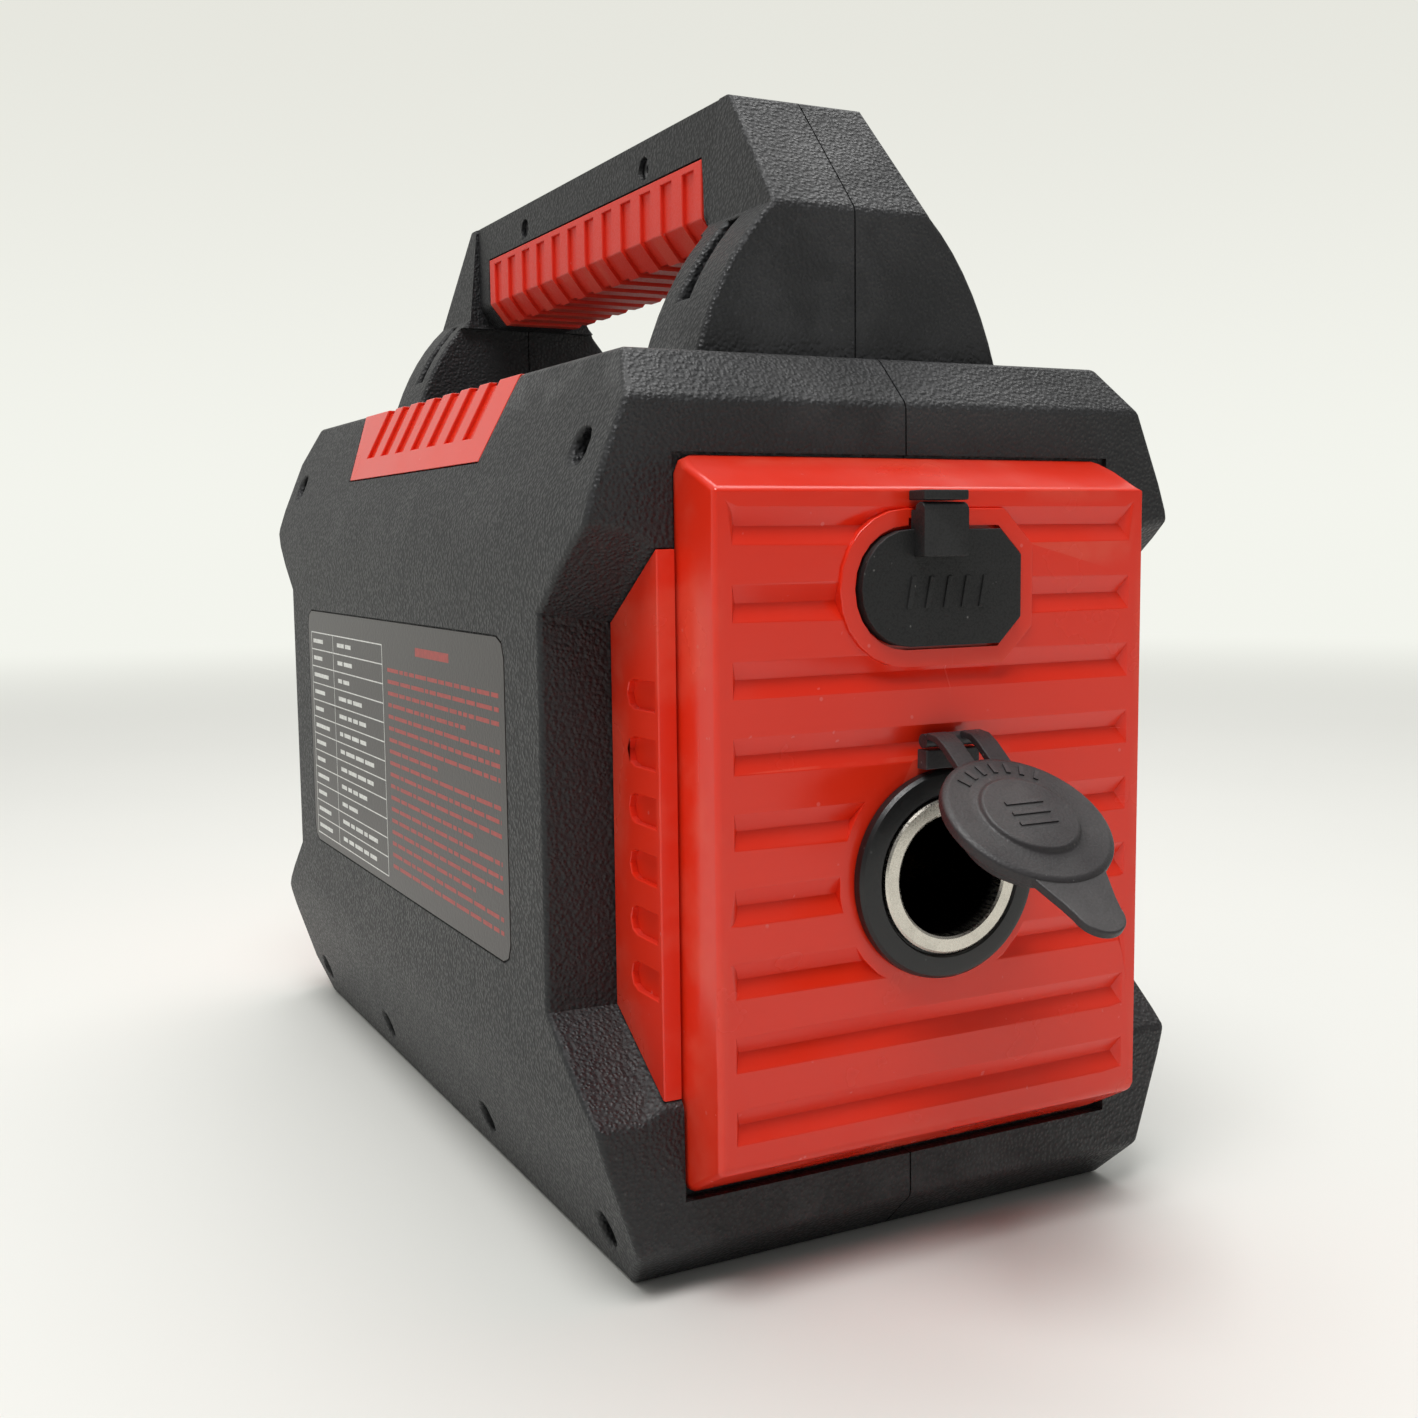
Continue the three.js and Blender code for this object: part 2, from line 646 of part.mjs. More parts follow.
function handleBody() {
  const post = postSolid(0);
  const gapCutter = box(-FAR, FAR, 0, HANDLE.postInnerY, -FAR, HANDLE.underside);
  const innerPost = postSolid(WALL);
  const both = (solid) => join(solid, solid.mirror([0, 1, 0]));
  const outer = join(both(cut(post, gapCutter)), barSolid(0, HANDLE.gripHalfLength + WALL));
  const padRoom = cut(
    prismY(rectangle(-FAR, FAR, HANDLE.underside - FAR, GRIP.high + GAP), -GRIP.halfLength - GAP, GRIP.halfLength + GAP),
    barSolid(GRIP.thick + GAP, FAR),
  );
  const hollowPost = cut(innerPost, box(-FAR, FAR, 0, HANDLE.postInnerY + WALL, -FAR, HANDLE.underside + WALL));
  const hollowBar = barSolid(GRIP.thick + GAP + WALL, HANDLE.postInnerY + 2 * WALL);
  const openBase = box(
    WALL - HANDLE.flareHalfWidth,
    HANDLE.flareHalfWidth - WALL,
    HANDLE.postInnerY + WALL,
    HANDLE.halfLength - WALL,
    BODY.height - WALL,
    BODY.height + 2 * WALL,
  );
  const tenon = tenonSolid();
  const hollow = join(both(hollowPost), hollowBar, both(cut(openBase, tenon)));
  const slots = [-1, 1].map((end) =>
    box(
      -FAR,
      FAR,
      end * HANDLE.slotY - HANDLE.slotHalfWidth,
      end * HANDLE.slotY + HANDLE.slotHalfWidth,
      HANDLE.slotLow,
      HANDLE.slotHigh,
    ),
  );
  const screwBosses = [-GRIP_SCREW.y, GRIP_SCREW.y].map((y) =>
    rodX(y, GRIP_SCREW.z, GRIP_SCREW.boss, -HANDLE.gripHalfWidth + 1, HANDLE.gripHalfWidth - 1),
  );
  return cut(join(cut(cut(outer, padRoom), hollow), both(tenon), ...screwBosses), ...slots);
}

// The foot under each post passes through the case top, and its lip locks under it.
function tenonSolid() {
  const half = HANDLE.tenonHalfWidth;
  const neck = box(-half, half, HANDLE.tenonIn, HANDLE.tenonOut, BODY.height - 2 * WALL, BODY.height + 2 * WALL);
  const lipTop = BODY.height - WALL - GAP;
  const lip = box(
    -half,
    half,
    HANDLE.tenonIn - HANDLE.tenonLip,
    HANDLE.tenonOut + HANDLE.tenonLip / 2,
    lipTop - WALL,
    lipTop,
  );
  const bore = box(-half + WALL, half - WALL, HANDLE.tenonIn + WALL, HANDLE.tenonOut - WALL, -FAR, FAR);
  const foot = box(
    -HANDLE.flareHalfWidth + 1,
    HANDLE.flareHalfWidth - 1,
    HANDLE.postInnerY + 1,
    HANDLE.halfLength - 1,
    BODY.height + GAP,
    BODY.height + GAP + WALL,
  );
  return cut(join(neck, lip, foot), bore);
}

function buildHandle() {
  const whole = handleBody();
  const seat = -HANDLE.gripHalfWidth + GRIP_SCREW.headDepth;
  const rows = [-GRIP_SCREW.y, GRIP_SCREW.y];
  const heads = rows.map((y) => rodX(y, GRIP_SCREW.z, GRIP_SCREW.hole, -FAR, seat));
  const shanks = rows.map((y) => rodX(y, GRIP_SCREW.z, GRIP_SCREW.shank + GAP, -FAR, GRIP_SCREW.reach + 1));
  const left = whole.intersect(box(-FAR, seamLeft, -FAR, FAR, -FAR, FAR));
  const right = whole.intersect(box(seamRight, FAR, -FAR, FAR, -FAR, FAR));
  add("handle_left", cut(left, ...heads, ...shanks), "shell");
  add("handle_right", cut(right, ...shanks), "shell");
  rows.forEach((y, k) => {
    const head = rodX(y, GRIP_SCREW.z, GRIP_SCREW.head, seat - GAP - GRIP_SCREW.headThick, seat - GAP);
    const recess = rodX(y, GRIP_SCREW.z, GRIP_SCREW.head / 2, -FAR, seat - GAP - GRIP_SCREW.headThick / 2, 6);
    const shank = rodX(y, GRIP_SCREW.z, GRIP_SCREW.shank, seat - GAP - GRIP_SCREW.headThick / 4, GRIP_SCREW.reach);
    add(`grip_screw_${k + 1}`, cut(join(head, shank), recess), "steel");
  });

  const shell = cut(barSolid(0, GRIP.halfLength), barSolid(GRIP.thick, FAR), box(-FAR, FAR, -FAR, FAR, GRIP.high, FAR));
  const shallow = barSolid(GRIP.ribDepth, FAR);
  const ribs = Array.from({ length: GRIP.ribCount }, (_, k) => {
    const y = GRIP.ribFirst + GRIP.ribPitch * k + (GRIP.ribPitch - GRIP.ribWidth) / 2;
    const across = box(-FAR, FAR, y - GRIP.ribWidth / 2, y + GRIP.ribWidth / 2, 0, GRIP.ribHigh);
    return cut(across, shallow);
  });
  add("grip_pad", cut(shell, ...ribs), "red");
}

// ---------------------------------------------------------------- red end frames and panels
function trapezoid(grow) {
  const edge = RECESS.inner;
  const floor = RECESS.floorY + GAP;
  const front = BODY.highHalfLength + (BODY.lowHalfLength - BODY.highHalfLength) / 3;
  const low = (y) => edge.lowFloor - edge.lowSlope * (y - RECESS.floorY) + GAP * Math.hypot(1, edge.lowSlope);
  const high = (y) => edge.highFloor + edge.highSlope * (y - RECESS.floorY) - GAP * Math.hypot(1, edge.highSlope);
  return inset([[floor, low(floor)], [front, low(front)], [front, high(front)], [floor, high(floor)]], grow);
}

function endFrame(end) {
  const halfWidth = RECESS.innerX - GAP;
  const outer = prismX(trapezoid(0), -halfWidth, halfWidth);
  const hollow = join(
    prismX(trapezoid(WALL), WALL - halfWidth, halfWidth - WALL),
    box(
      WALL - halfWidth,
      halfWidth - WALL,
      RECESS.floorY - 1,
      RECESS.floorY + 2 * WALL,
      trapezoid(WALL)[0][1] + WALL,
      trapezoid(WALL)[3][1] - WALL,
    ),
  );
  const window = box(-WINDOW.halfWidth, WINDOW.halfWidth, RECESS.floorY, FAR, WINDOW.low, BODY.highFold - WALL);
  const seat = panelSeat(1);
  const vents = [-1, 1].flatMap((side) =>
    Array.from({ length: VENT.count }, (_, k) => {
      const high = VENT.firstHigh - VENT.pitch * k;
      const radius = VENT.height / 2;
      const hole = rounded(
        rectangle(VENT.inY, FAR, high - VENT.height, high),
        [radius * 0.95, 0, 0, radius * 0.95],
        LABEL.steps,
      );
      const xs = [side * (halfWidth - VENT.depth), side * FAR].sort((a, b) => a - b);
      const slot = prismX(hole, ...xs);
      return slot.intersect(box(-FAR, FAR, 0, VENT.outY, -FAR, FAR));
    }),
  );
  const frame = cut(outer, hollow, window, seat, ...vents);
  return end < 0 ? frame.mirror([0, 1, 0]) : frame;
}

function panelBlock() {
  const back = PANEL.seatY + GAP;
  const side = prismX(
    [
      [back, PANEL.backLow],
      [PANEL.frontY, PANEL.frontLow],
      [PANEL.frontY, PANEL.frontHigh],
      [back, PANEL.backHigh],
    ],
    -FAR,
    FAR,
  );
  const plan = prismZ(
    [
      [-PANEL.backHalfWidth, back],
      [PANEL.backHalfWidth, back],
      [PANEL.frontHalfWidth, PANEL.frontY],
      [-PANEL.frontHalfWidth, PANEL.frontY],
    ],
    0,
    FAR,
  );
  const front = prismY(
    rounded(
      rectangle(-PANEL.backHalfWidth, PANEL.backHalfWidth, PANEL.backLow, PANEL.backHigh),
      Array(4).fill(PANEL.cornerRadius),
      LABEL.steps,
    ),
    0,
    FAR,
  );
  const cavity = box(
    PANEL.skin - PANEL.backHalfWidth,
    PANEL.backHalfWidth - PANEL.skin,
    0,
    PANEL.frontY - PANEL.skin,
    PANEL.frontLow + 1,
    PANEL.frontHigh - 1,
  );
  return cut(side.intersect(plan).intersect(front), cavity);
}

function grooveCutters(keepOuts) {
  return Array.from({ length: GROOVE.count }, (_, k) => {
    const top = GROOVE.firstTop - GROOVE.pitch * k;
    const middle = top - GROOVE.height / 2;
    const floor = PANEL.frontY - GROOVE.depth;
    const lip = PANEL.frontY + 1;
    const spread = (GROOVE.height / 2) * ((lip - floor) / GROOVE.depth);
    const vee = prismX([[floor, middle], [lip, middle - spread], [lip, middle + spread]], -FAR, FAR);
    const half = GROOVE.halfLength;
    const run = GROOVE.hip * ((lip - floor) / GROOVE.depth);
    const ends = prismZ(
      [
        [GROOVE.hip - half, floor - 1],
        [half - GROOVE.hip, floor - 1],
        [half - GROOVE.hip, floor],
        [half - GROOVE.hip + run, lip],
        [half * -1 + GROOVE.hip - run, lip],
        [GROOVE.hip - half, floor],
      ],
      0,
      FAR,
    );
    return cut(vee.intersect(ends), ...keepOuts);
  });
}

function startOutline(grow) {
  const radius = (START.high - START.low) / 2 + grow;
  const corner = START.corner + grow / 2;
  const [right, low, high] = [START.right + grow, START.low - grow, START.high + grow];
  const box4 = [
    [START.left - grow, low],
    [right - corner, low],
    [right, low + corner],
    [right, high - corner],
    [right - corner, high],
    [START.left - grow, high],
  ];
  return rounded(box4, [radius * 0.98, 0, 0, 0, 0, radius * 0.98], 6);
}

function buildFrontEnd() {
  const { x, z } = START_MIDDLE;
  const port = rectangle(
    x - START.portHalfWidth,
    x + START.portHalfWidth,
    z - START.portHalfHeight,
    z + START.portHalfHeight,
  );
  const flip = (solid) => solid.mirror([0, 1, 0]);
  const portRoom = prismY(inset(port, -GAP), 0, FAR);
  const boss = prismY(startOutline(START.bossMargin), PANEL.frontY - PANEL.skin, PANEL.frontY + START.bossProud);
  const keepOuts = [
    prismY(startOutline(START.bossMargin), 0, FAR),
    rodY(0, LIGHTER.z, LIGHTER.bossRadius, 0, FAR, LIGHTER.steps),
  ];
  const hingeRoom = box(
    HINGE.offsetX - HINGE.halfWidth - GAP,
    HINGE.offsetX + HINGE.halfWidth + GAP,
    START.recessFloorY,
    FAR,
    START_MIDDLE.z,
    HINGE.z - HINGE.radius,
  );
  const panel = cut(
    join(panelBlock(), boss),
    ...grooveCutters(keepOuts),
    prismY(startOutline(GAP), START.recessFloorY, FAR),
    hingeRoom,
    portRoom,
    rodY(0, LIGHTER.z, LIGHTER.sleeve + GAP, 0, FAR, LIGHTER.steps),
  );
  add("front_panel", flip(panel), "red");
  const portNotch = box(
    x - START.portHalfWidth - WALL,
    x + START.portHalfWidth + WALL,
    -FAR,
    FAR,
    START_MIDDLE.z - START.portHalfHeight - WALL,
    FAR,
  );
  add("front_end_frame", cut(endFrame(-1), portNotch), "red");

  // Jump outlet: a moulded housing with two sleeve contacts.
  const lipFace = PANEL.frontY - PANEL.skin - GAP;
  const contacts = [x - START.contactSpacing / 2, x + START.contactSpacing / 2];
  const housing = cut(
    join(
      prismY(port, START.backY, START.faceY),
      prismY(inset(port, 1 - WALL), START.faceY - WALL, lipFace),
    ),
    prismY(inset(port, 1), START.faceY, FAR),
    ...contacts.map((cx) => rodY(cx, z, START.contactOuter + GAP, 0, FAR, 16)),
  );
  add("start_socket_housing", flip(housing), "darkPlastic");
  ["start_contact_negative", "start_contact_positive"].forEach((name, k) => {
    const sleeve = turnedY(
      contacts[k],
      z,
      [
        [0, START.backY],
        [START.contactOuter, START.backY],
        [START.contactOuter, START.faceY - 1],
        [START.contactBore, START.faceY - 1],
        [START.contactBore, START.backY + 2],
        [0, START.backY + 2],
      ],
      16,
    );
    add(name, flip(sleeve), "brass");
  });

  // Start cover: a flush rubber lid, its hinge barrel and the strap that holds it to the panel.
  const coverBack = START.recessFloorY + GAP;
  const lid = prismY(startOutline(-GAP), coverBack, coverBack + START.coverThick);
  const axis = rodX(HINGE.y, HINGE.z, HINGE.radius, HINGE.offsetX - HINGE.halfWidth, HINGE.offsetX + HINGE.halfWidth, 16);
  const tab = box(
    HINGE.offsetX - HINGE.halfWidth,
    HINGE.offsetX + HINGE.halfWidth,
    coverBack,
    HINGE.y + HINGE.radius,
    START.high - 4.8,
    HINGE.z,
  );
  const shoulder = box(-FAR, FAR, -FAR, PANEL.frontY + START.bossProud + GAP, START.high - GAP, FAR);
  const plug = prismY(inset(port, 1 + 2 * GAP), coverBack - START.plugDeep, coverBack + 1);
  add("start_cover", flip(join(lid, cut(join(tab, axis), shoulder), plug)), "rubber");
  const anchorLow = HINGE.z + HINGE.radius + GAP;
  const anchor = box(
    HINGE.offsetX - HINGE.halfWidth,
    HINGE.offsetX + HINGE.halfWidth,
    PANEL.frontY + GAP,
    HINGE.y + HINGE.radius,
    anchorLow,
    anchorLow + 1.6,
  );
  add("start_cover_strap", flip(anchor), "rubber");
}

function buildLighterSocket() {
  const flip = (solid) => solid.mirror([0, 1, 0]);
  const L = LIGHTER;
  const lipBack = L.flangeFrontY + GAP - L.lipThick;
  const steps = L.steps;
  const barrel = turnedY(
    0,
    L.z,
    [
      [L.bore, L.backY],
      [L.barrel, L.backY],
      [L.barrel, lipBack],
      [L.lip, lipBack],
      [L.lip, lipBack + L.lipThick],
      [L.bore, lipBack + L.lipThick],
    ],
    steps,
  );
  add("lighter_barrel", flip(barrel), "nickel");
  const counterbore = lipBack - GAP;
  const flange = turnedY(
    0,
    L.z,
    [
      [L.barrel + GAP, L.sleeveBackY],
      [L.sleeve, L.sleeveBackY],
      [L.sleeve, PANEL.frontY + GAP],
      [L.flange, PANEL.frontY + GAP],
      [L.flange, L.flangeFrontY],
      [L.lip + GAP, L.flangeFrontY],
      [L.lip + GAP, counterbore],
      [L.barrel + GAP, counterbore],
    ],
    steps,
  );
  add("lighter_flange", flip(flange), "darkPlastic");
  const nutFace = PANEL.frontY - PANEL.skin - GAP;
  const nut = cut(
    rodY(0, L.z, L.nut, nutFace - L.nutThick, nutFace, 6),
    rodY(0, L.z, L.sleeve + GAP, 0, FAR, steps),
  );
  add("lighter_nut", flip(nut), "darkPlastic");
  const plateFace = L.backY - GAP;
  const pinBore = 2.8;
  const insulator = cut(
    rodY(0, L.z, L.barrel + 1, plateFace - 3, plateFace, steps),
    rodY(0, L.z, pinBore, 0, FAR),
  );
  add("lighter_insulator", flip(insulator), "darkPlastic");
  const contact = join(
    rodY(0, L.z, pinBore - GAP, plateFace - 6, plateFace + 4),
    rodY(0, L.z, pinBore + 1.6, plateFace - 5, plateFace - 3 - GAP),
  );
  add("lighter_centre_contact", flip(contact), "brass");

  // Rubber cap, modelled shut and turned open about its hinge.
  const hinge = new THREE.Group();
  hinge.position.set(0, -CAP.hingeY, CAP.hingeZ);
  hinge.rotation.x = THREE.MathUtils.degToRad(-CAP.restOpen);
  pack.add(hinge);
  const back = CAP.faceY - CAP.thick;
  const tabTip = L.z - CAP.tabReach;
  const disc = rodY(0, L.z, CAP.radius, back, CAP.faceY, steps);
  const pull = prismY(
    [
      ...[0, 1, 2, 3, 4].map((k) => {
        const a = Math.PI + (Math.PI * k) / 4;
        return [CAP.tabHalfWidth * Math.cos(a), tabTip + CAP.tabHalfWidth + CAP.tabHalfWidth * Math.sin(a)];
      }),
      [CAP.tabHalfWidth + 2.5, L.z - CAP.radius + 3],
      [-CAP.tabHalfWidth - 2.5, L.z - CAP.radius + 3],
    ],
    back,
    back + CAP.strapThick,
  );
  const badge = rodY(0, L.z, CAP.badge, back + 1, CAP.faceY + CAP.badgeProud, 24);
  const plug = cut(
    rodY(0, L.z, CAP.plugOuter, back - CAP.plugLength, back + 1, 24),
    rodY(0, L.z, CAP.plugInner, back - CAP.plugLength - 1, back, 24),
  );
  const strap = cut(
    box(-CAP.strapHalfWidth, CAP.strapHalfWidth, back, back + CAP.strapThick, L.z + CAP.radius - 3, CAP.hingeZ),
    box(-CAP.strapSlot, CAP.strapSlot, 0, FAR, L.z + CAP.radius + 1, CAP.hingeZ - CAP.barrel),
  );
  const barrelRod = rodX(CAP.hingeY, CAP.hingeZ, CAP.barrel, -CAP.strapHalfWidth, CAP.strapHalfWidth, 12);
  const web = box(
    -CAP.strapHalfWidth,
    CAP.strapHalfWidth,
    CAP.hingeY,
    back + CAP.strapThick,
    CAP.hingeZ - CAP.barrel,
    CAP.hingeZ + CAP.barrel,
  );
  const shut = join(disc, pull, badge, plug, strap, barrelRod, web);
  const atHinge = shut.translate([0, -CAP.hingeY, -CAP.hingeZ]).mirror([0, 1, 0]);
  add("socket_cap", atHinge, "rubber", hinge);

  const root = box(
    -CAP.strapHalfWidth,
    CAP.strapHalfWidth,
    PANEL.frontY + GAP,
    back - GAP,
    L.z + L.flange + GAP,
    CAP.hingeZ - CAP.barrel - GAP,
  );
  add("socket_cap_strap", flip(root), "rubber");
}

function buttonSolids({ x, z, radius, steps }) {
  const inner = PANEL.frontY - PANEL.skin - GAP;
  const boardFace = CONTROL_BOARD.y + CONTROL_BOARD.thick;
  const stemEnd = boardFace + BUTTON.switchHigh + BUTTON.travel + GAP;
  return join(
    rodY(x, z, radius, inner - BUTTON.skirtThick, PANEL.frontY + BUTTON.proud, steps),
    rodY(x, z, radius + BUTTON.skirt, inner - BUTTON.skirtThick, inner, steps),
    rodY(x, z, BUTTON.stem, stemEnd, inner, SCREW.steps),
  );
}

function buildBackEnd() {
  const inner = PANEL.frontY - PANEL.skin;
  const boardFace = CONTROL_BOARD.y + CONTROL_BOARD.thick;
  const buttons = [POWER_BUTTON, LIGHT_BUTTON];
  const windowPane = rectangle(-DISPLAY.halfWidth, DISPLAY.halfWidth, DISPLAY.low, DISPLAY.high);
  const paneBack = PANEL.frontY - DISPLAY.recess - DISPLAY.windowThick;
  const usbOutline = (x, grow) =>
    rectangle(x - USB.halfWidth - grow, x + USB.halfWidth + grow, USB.z - USB.halfHeight - grow, USB.z + USB.halfHeight + grow);
  const flatZone = rectangle(-FLAT_ZONE.halfWidth, FLAT_ZONE.halfWidth, FLAT_ZONE.low, FLAT_ZONE.high);
  const coverHinge = DC.z + DC_COVER.hingeRise;
  const keepOuts = [
    prismY(inset(windowPane, -3), 0, FAR),
    prismY(flatZone, 0, FAR),
    rodY(0, LAMP.z, LAMP.radius + 3, 0, FAR, LAMP.steps),
  ];
  const panel = cut(
    panelBlock(),
    ...grooveCutters(keepOuts),
    prismY(inset(windowPane, -GAP), paneBack - GAP, FAR),
    prismY(inset(windowPane, 2), 0, FAR),
    ...buttons.map(({ x, z, radius, steps }) => rodY(x, z, radius + GAP, 0, FAR, steps)),
    ...USB.xs.map((x) => prismY(usbOutline(x, GAP), 0, FAR)),
    rodY(DC.x, DC.z, DC.outer + GAP, 0, FAR, DC.steps),
    rodY(DC.x, DC.z, DC_COVER.radius + GAP, PANEL.frontY - DC_COVER.recess, FAR, 24),
    rodY(0, LAMP.z, LAMP.radius + GAP, 0, FAR, LAMP.steps),
  );
  add("back_panel", panel, "red");
  add("back_end_frame", join(endFrame(1), ...boardPosts()), "red");

  add("display_window", prismY(windowPane, paneBack, paneBack + DISPLAY.windowThick), "clear");
  const moduleOutline = inset(windowPane, -DISPLAY.moduleMargin + 1);
  const displayBody = prismY(moduleOutline, inner - GAP - DISPLAY.moduleDepth, inner - GAP);
  add("display_module", displayBody, "board");
  add("power_button", buttonSolids(POWER_BUTTON), "rubber");
  add("light_button", buttonSolids(LIGHT_BUTTON), "rubber");

  USB.xs.forEach((x, k) => {
    const shell = cut(
      prismY(usbOutline(x, 0), boardFace + GAP, PANEL.frontY - GAP),
      prismY(usbOutline(x, -USB.wall), PANEL.frontY - USB.boreDeep, FAR),
    );
    const tongue = box(
      x - USB.halfWidth + 2 * USB.wall,
      x + USB.halfWidth - 2 * USB.wall,
      PANEL.frontY - USB.boreDeep - 1,
      PANEL.frontY - USB.tongueShort,
      USB.z + USB.halfHeight - USB.wall - USB.tongueThick,
      USB.z + USB.halfHeight - USB.wall / 2,
    );
    add(`usb_port_${k + 1}`, join(shell, tongue), "nickel");
  });

  const mouth = PANEL.frontY - DC_COVER.recess - GAP;
  const jack = join(
    cut(
      rodY(DC.x, DC.z, DC.outer, boardFace + GAP, mouth, DC.steps),
      rodY(DC.x, DC.z, DC.bore, mouth - DC.deep, FAR, DC.steps),
    ),
    rodY(DC.x, DC.z, DC.pin, mouth - DC.deep - 1, mouth - 1, 8),
  );
  add("dc_jack", jack, "darkPlastic");
  const lidBack = PANEL.frontY - DC_COVER.recess + GAP;
  const lidHinge = lidBack + DC_COVER.thick;
  const lid = join(
    rodY(DC.x, DC.z, DC_COVER.radius, lidBack, lidBack + DC_COVER.thick, 24),
    box(
      DC.x - DC_COVER.tab,
      DC.x + DC_COVER.tab,
      lidHinge - DC_COVER.barrel,
      lidHinge,
      DC.z + DC_COVER.radius - 1,
      coverHinge,
    ),
    rodX(lidHinge, coverHinge, DC_COVER.barrel, DC.x - DC_COVER.tab, DC.x + DC_COVER.tab),
    box(DC.x - 2, DC.x + 2, lidBack + 1, lidBack + DC_COVER.thick, DC.z - DC_COVER.radius - 2, DC.z - DC_COVER.radius + 2),
  );
  add("dc_cover", lid, "rubber");
  const coverAnchor = box(
    DC.x - DC_COVER.tab,
    DC.x + DC_COVER.tab,
    PANEL.frontY + GAP,
    lidHinge + DC_COVER.barrel,
    coverHinge + DC_COVER.barrel + GAP,
    coverHinge + DC_COVER.barrel + GAP + 2,
  );
  add("dc_cover_strap", coverAnchor, "rubber");

  const lensBack = PANEL.frontY - LAMP.lensThick / 2;
  add("lamp_lens", rodY(0, LAMP.z, LAMP.radius, lensBack, lensBack + LAMP.lensThick, LAMP.steps), "lens");
  const cupFront = lensBack - GAP;
  const cupBack = cupFront - LAMP.deep;
  const cup = turnedY(
    0,
    LAMP.z,
    [
      [0, cupBack],
      [LAMP.radius / 3, cupBack],
      [LAMP.radius, cupFront],
      [LAMP.radius - LAMP.wall, cupFront],
      [LAMP.radius / 3 - LAMP.wall / 2, cupBack + LAMP.wall],
      [0, cupBack + LAMP.wall],
    ],
    LAMP.steps,
  );
  add("lamp_reflector", cup, "nickel");
}

function boardPosts() {
  const postTop = PANEL.seatY - GAP;
  const boardFace = CONTROL_BOARD.y + CONTROL_BOARD.thick + GAP;
  const rows = [CONTROL_BOARD.low + 8, CONTROL_BOARD.high - 12];
  return [-CONTROL_BOARD.postX, CONTROL_BOARD.postX].flatMap((x) =>
    rows.map((z) => rodY(x, z, CONTROL_BOARD.postRadius, boardFace, postTop)),
  );
}

// ---------------------------------------------------------------- inside
const lowScrewZ = Math.min(...CASE_SCREWS.map(({ z }) => z));
const trayBase = lowScrewZ + SCREW.boss + GAP; // the tray stands on the lower screw bosses
const cellBase = trayBase + TRAY.floor + GAP;
const cellTop = cellBase + CELL.height;
const cellYs = Array.from({ length: CELL.count }, (_, k) => (k - (CELL.count - 1) / 2) * CELL_PITCH);

function buildBattery() {
  const halfX = CELL.width / 2 + TRAY.clearance;
  const halfY = (CELL_PITCH * (CELL.count - 1) + CELL.thick) / 2 + TRAY.clearance;
  const tray = cut(
    box(-halfX - TRAY.wall, halfX + TRAY.wall, -halfY - TRAY.wall, halfY + TRAY.wall, trayBase, trayBase + TRAY.height),
    box(-halfX, halfX, -halfY, halfY, trayBase + TRAY.floor, FAR),
  );
  add("battery_tray", tray, "darkPlastic");
  cellYs.forEach((y, k) => {
    const footprint = rounded(
      rectangle(-CELL.width / 2, CELL.width / 2, y - CELL.thick / 2, y + CELL.thick / 2),
      Array(4).fill(CELL.corner),
      LABEL.steps,
    );
    const terminals = [-CELL.terminalX, CELL.terminalX].map((x) =>
      rodZ(x, y, CELL.terminal, cellTop - 1, cellTop + CELL.terminalHigh),
    );
    add(`battery_cell_${k + 1}`, join(prismZ(footprint, cellBase, cellTop), ...terminals), "cell");
  });
  const barLow = cellTop + CELL.terminalHigh + GAP;
  cellYs.slice(1).forEach((y, k) => {
    const x = k % 2 === 0 ? CELL.terminalX : -CELL.terminalX;
    const bar = box(
      x - BUSBAR.width / 2,
      x + BUSBAR.width / 2,
      y - CELL_PITCH - BUSBAR.overlap,
      y + BUSBAR.overlap,
      barLow,
      barLow + BUSBAR.thick,
    );
    add(`busbar_${k + 1}`, bar, "copper");
  });
}

function lead(points) {
  const curve = new THREE.CatmullRomCurve3(points.map((p) => new THREE.Vector3(...p)), false, "centripetal");
  const section = outline(circle(0, 0, LEAD.radius, LEAD.sides));
  return solidOf(
    new THREE.ExtrudeGeometry(section, { extrudePath: curve, steps: LEAD.steps, bevelEnabled: false }),
  );
}

function buildLeads() {
  const { x: middle, z: portZ } = START_MIDDLE;
  const start = cellTop + CELL.terminalHigh + GAP;
  const end = -START.backY + GAP;
  const negativeX = middle - START.contactSpacing / 2;
  const positiveX = middle + START.contactSpacing / 2;
  const x = -CELL.terminalX;
  const [frontY, backY] = [cellYs[0], cellYs.at(-1)];
  add(
    "negative_lead",
    lead([
      [x, frontY, start],
      [x, frontY, start + 4],
      [x + 2, frontY - 8, start + 8],
      [x + 7, frontY - 20, start + 3],
      [negativeX - 2, frontY - 32, portZ + 4],
      [negativeX, end + 6, portZ],
      [negativeX, end, portZ],
    ]),
    "rubber",
  );
  add(
    "positive_lead",
    lead([
      [x, backY, start],
      [x, backY, start + 4],
      [x + 4, backY - 10, start + 8],
      [x + 18, 0, start + 8],
      [positiveX, frontY + 6, start + 8],
      [positiveX + 1, frontY - 20, start + 4],
      [positiveX, frontY - 32, portZ + 4],
      [positiveX, end + 6, portZ],
      [positiveX, end, portZ],
    ]),
    "red",
  );
}

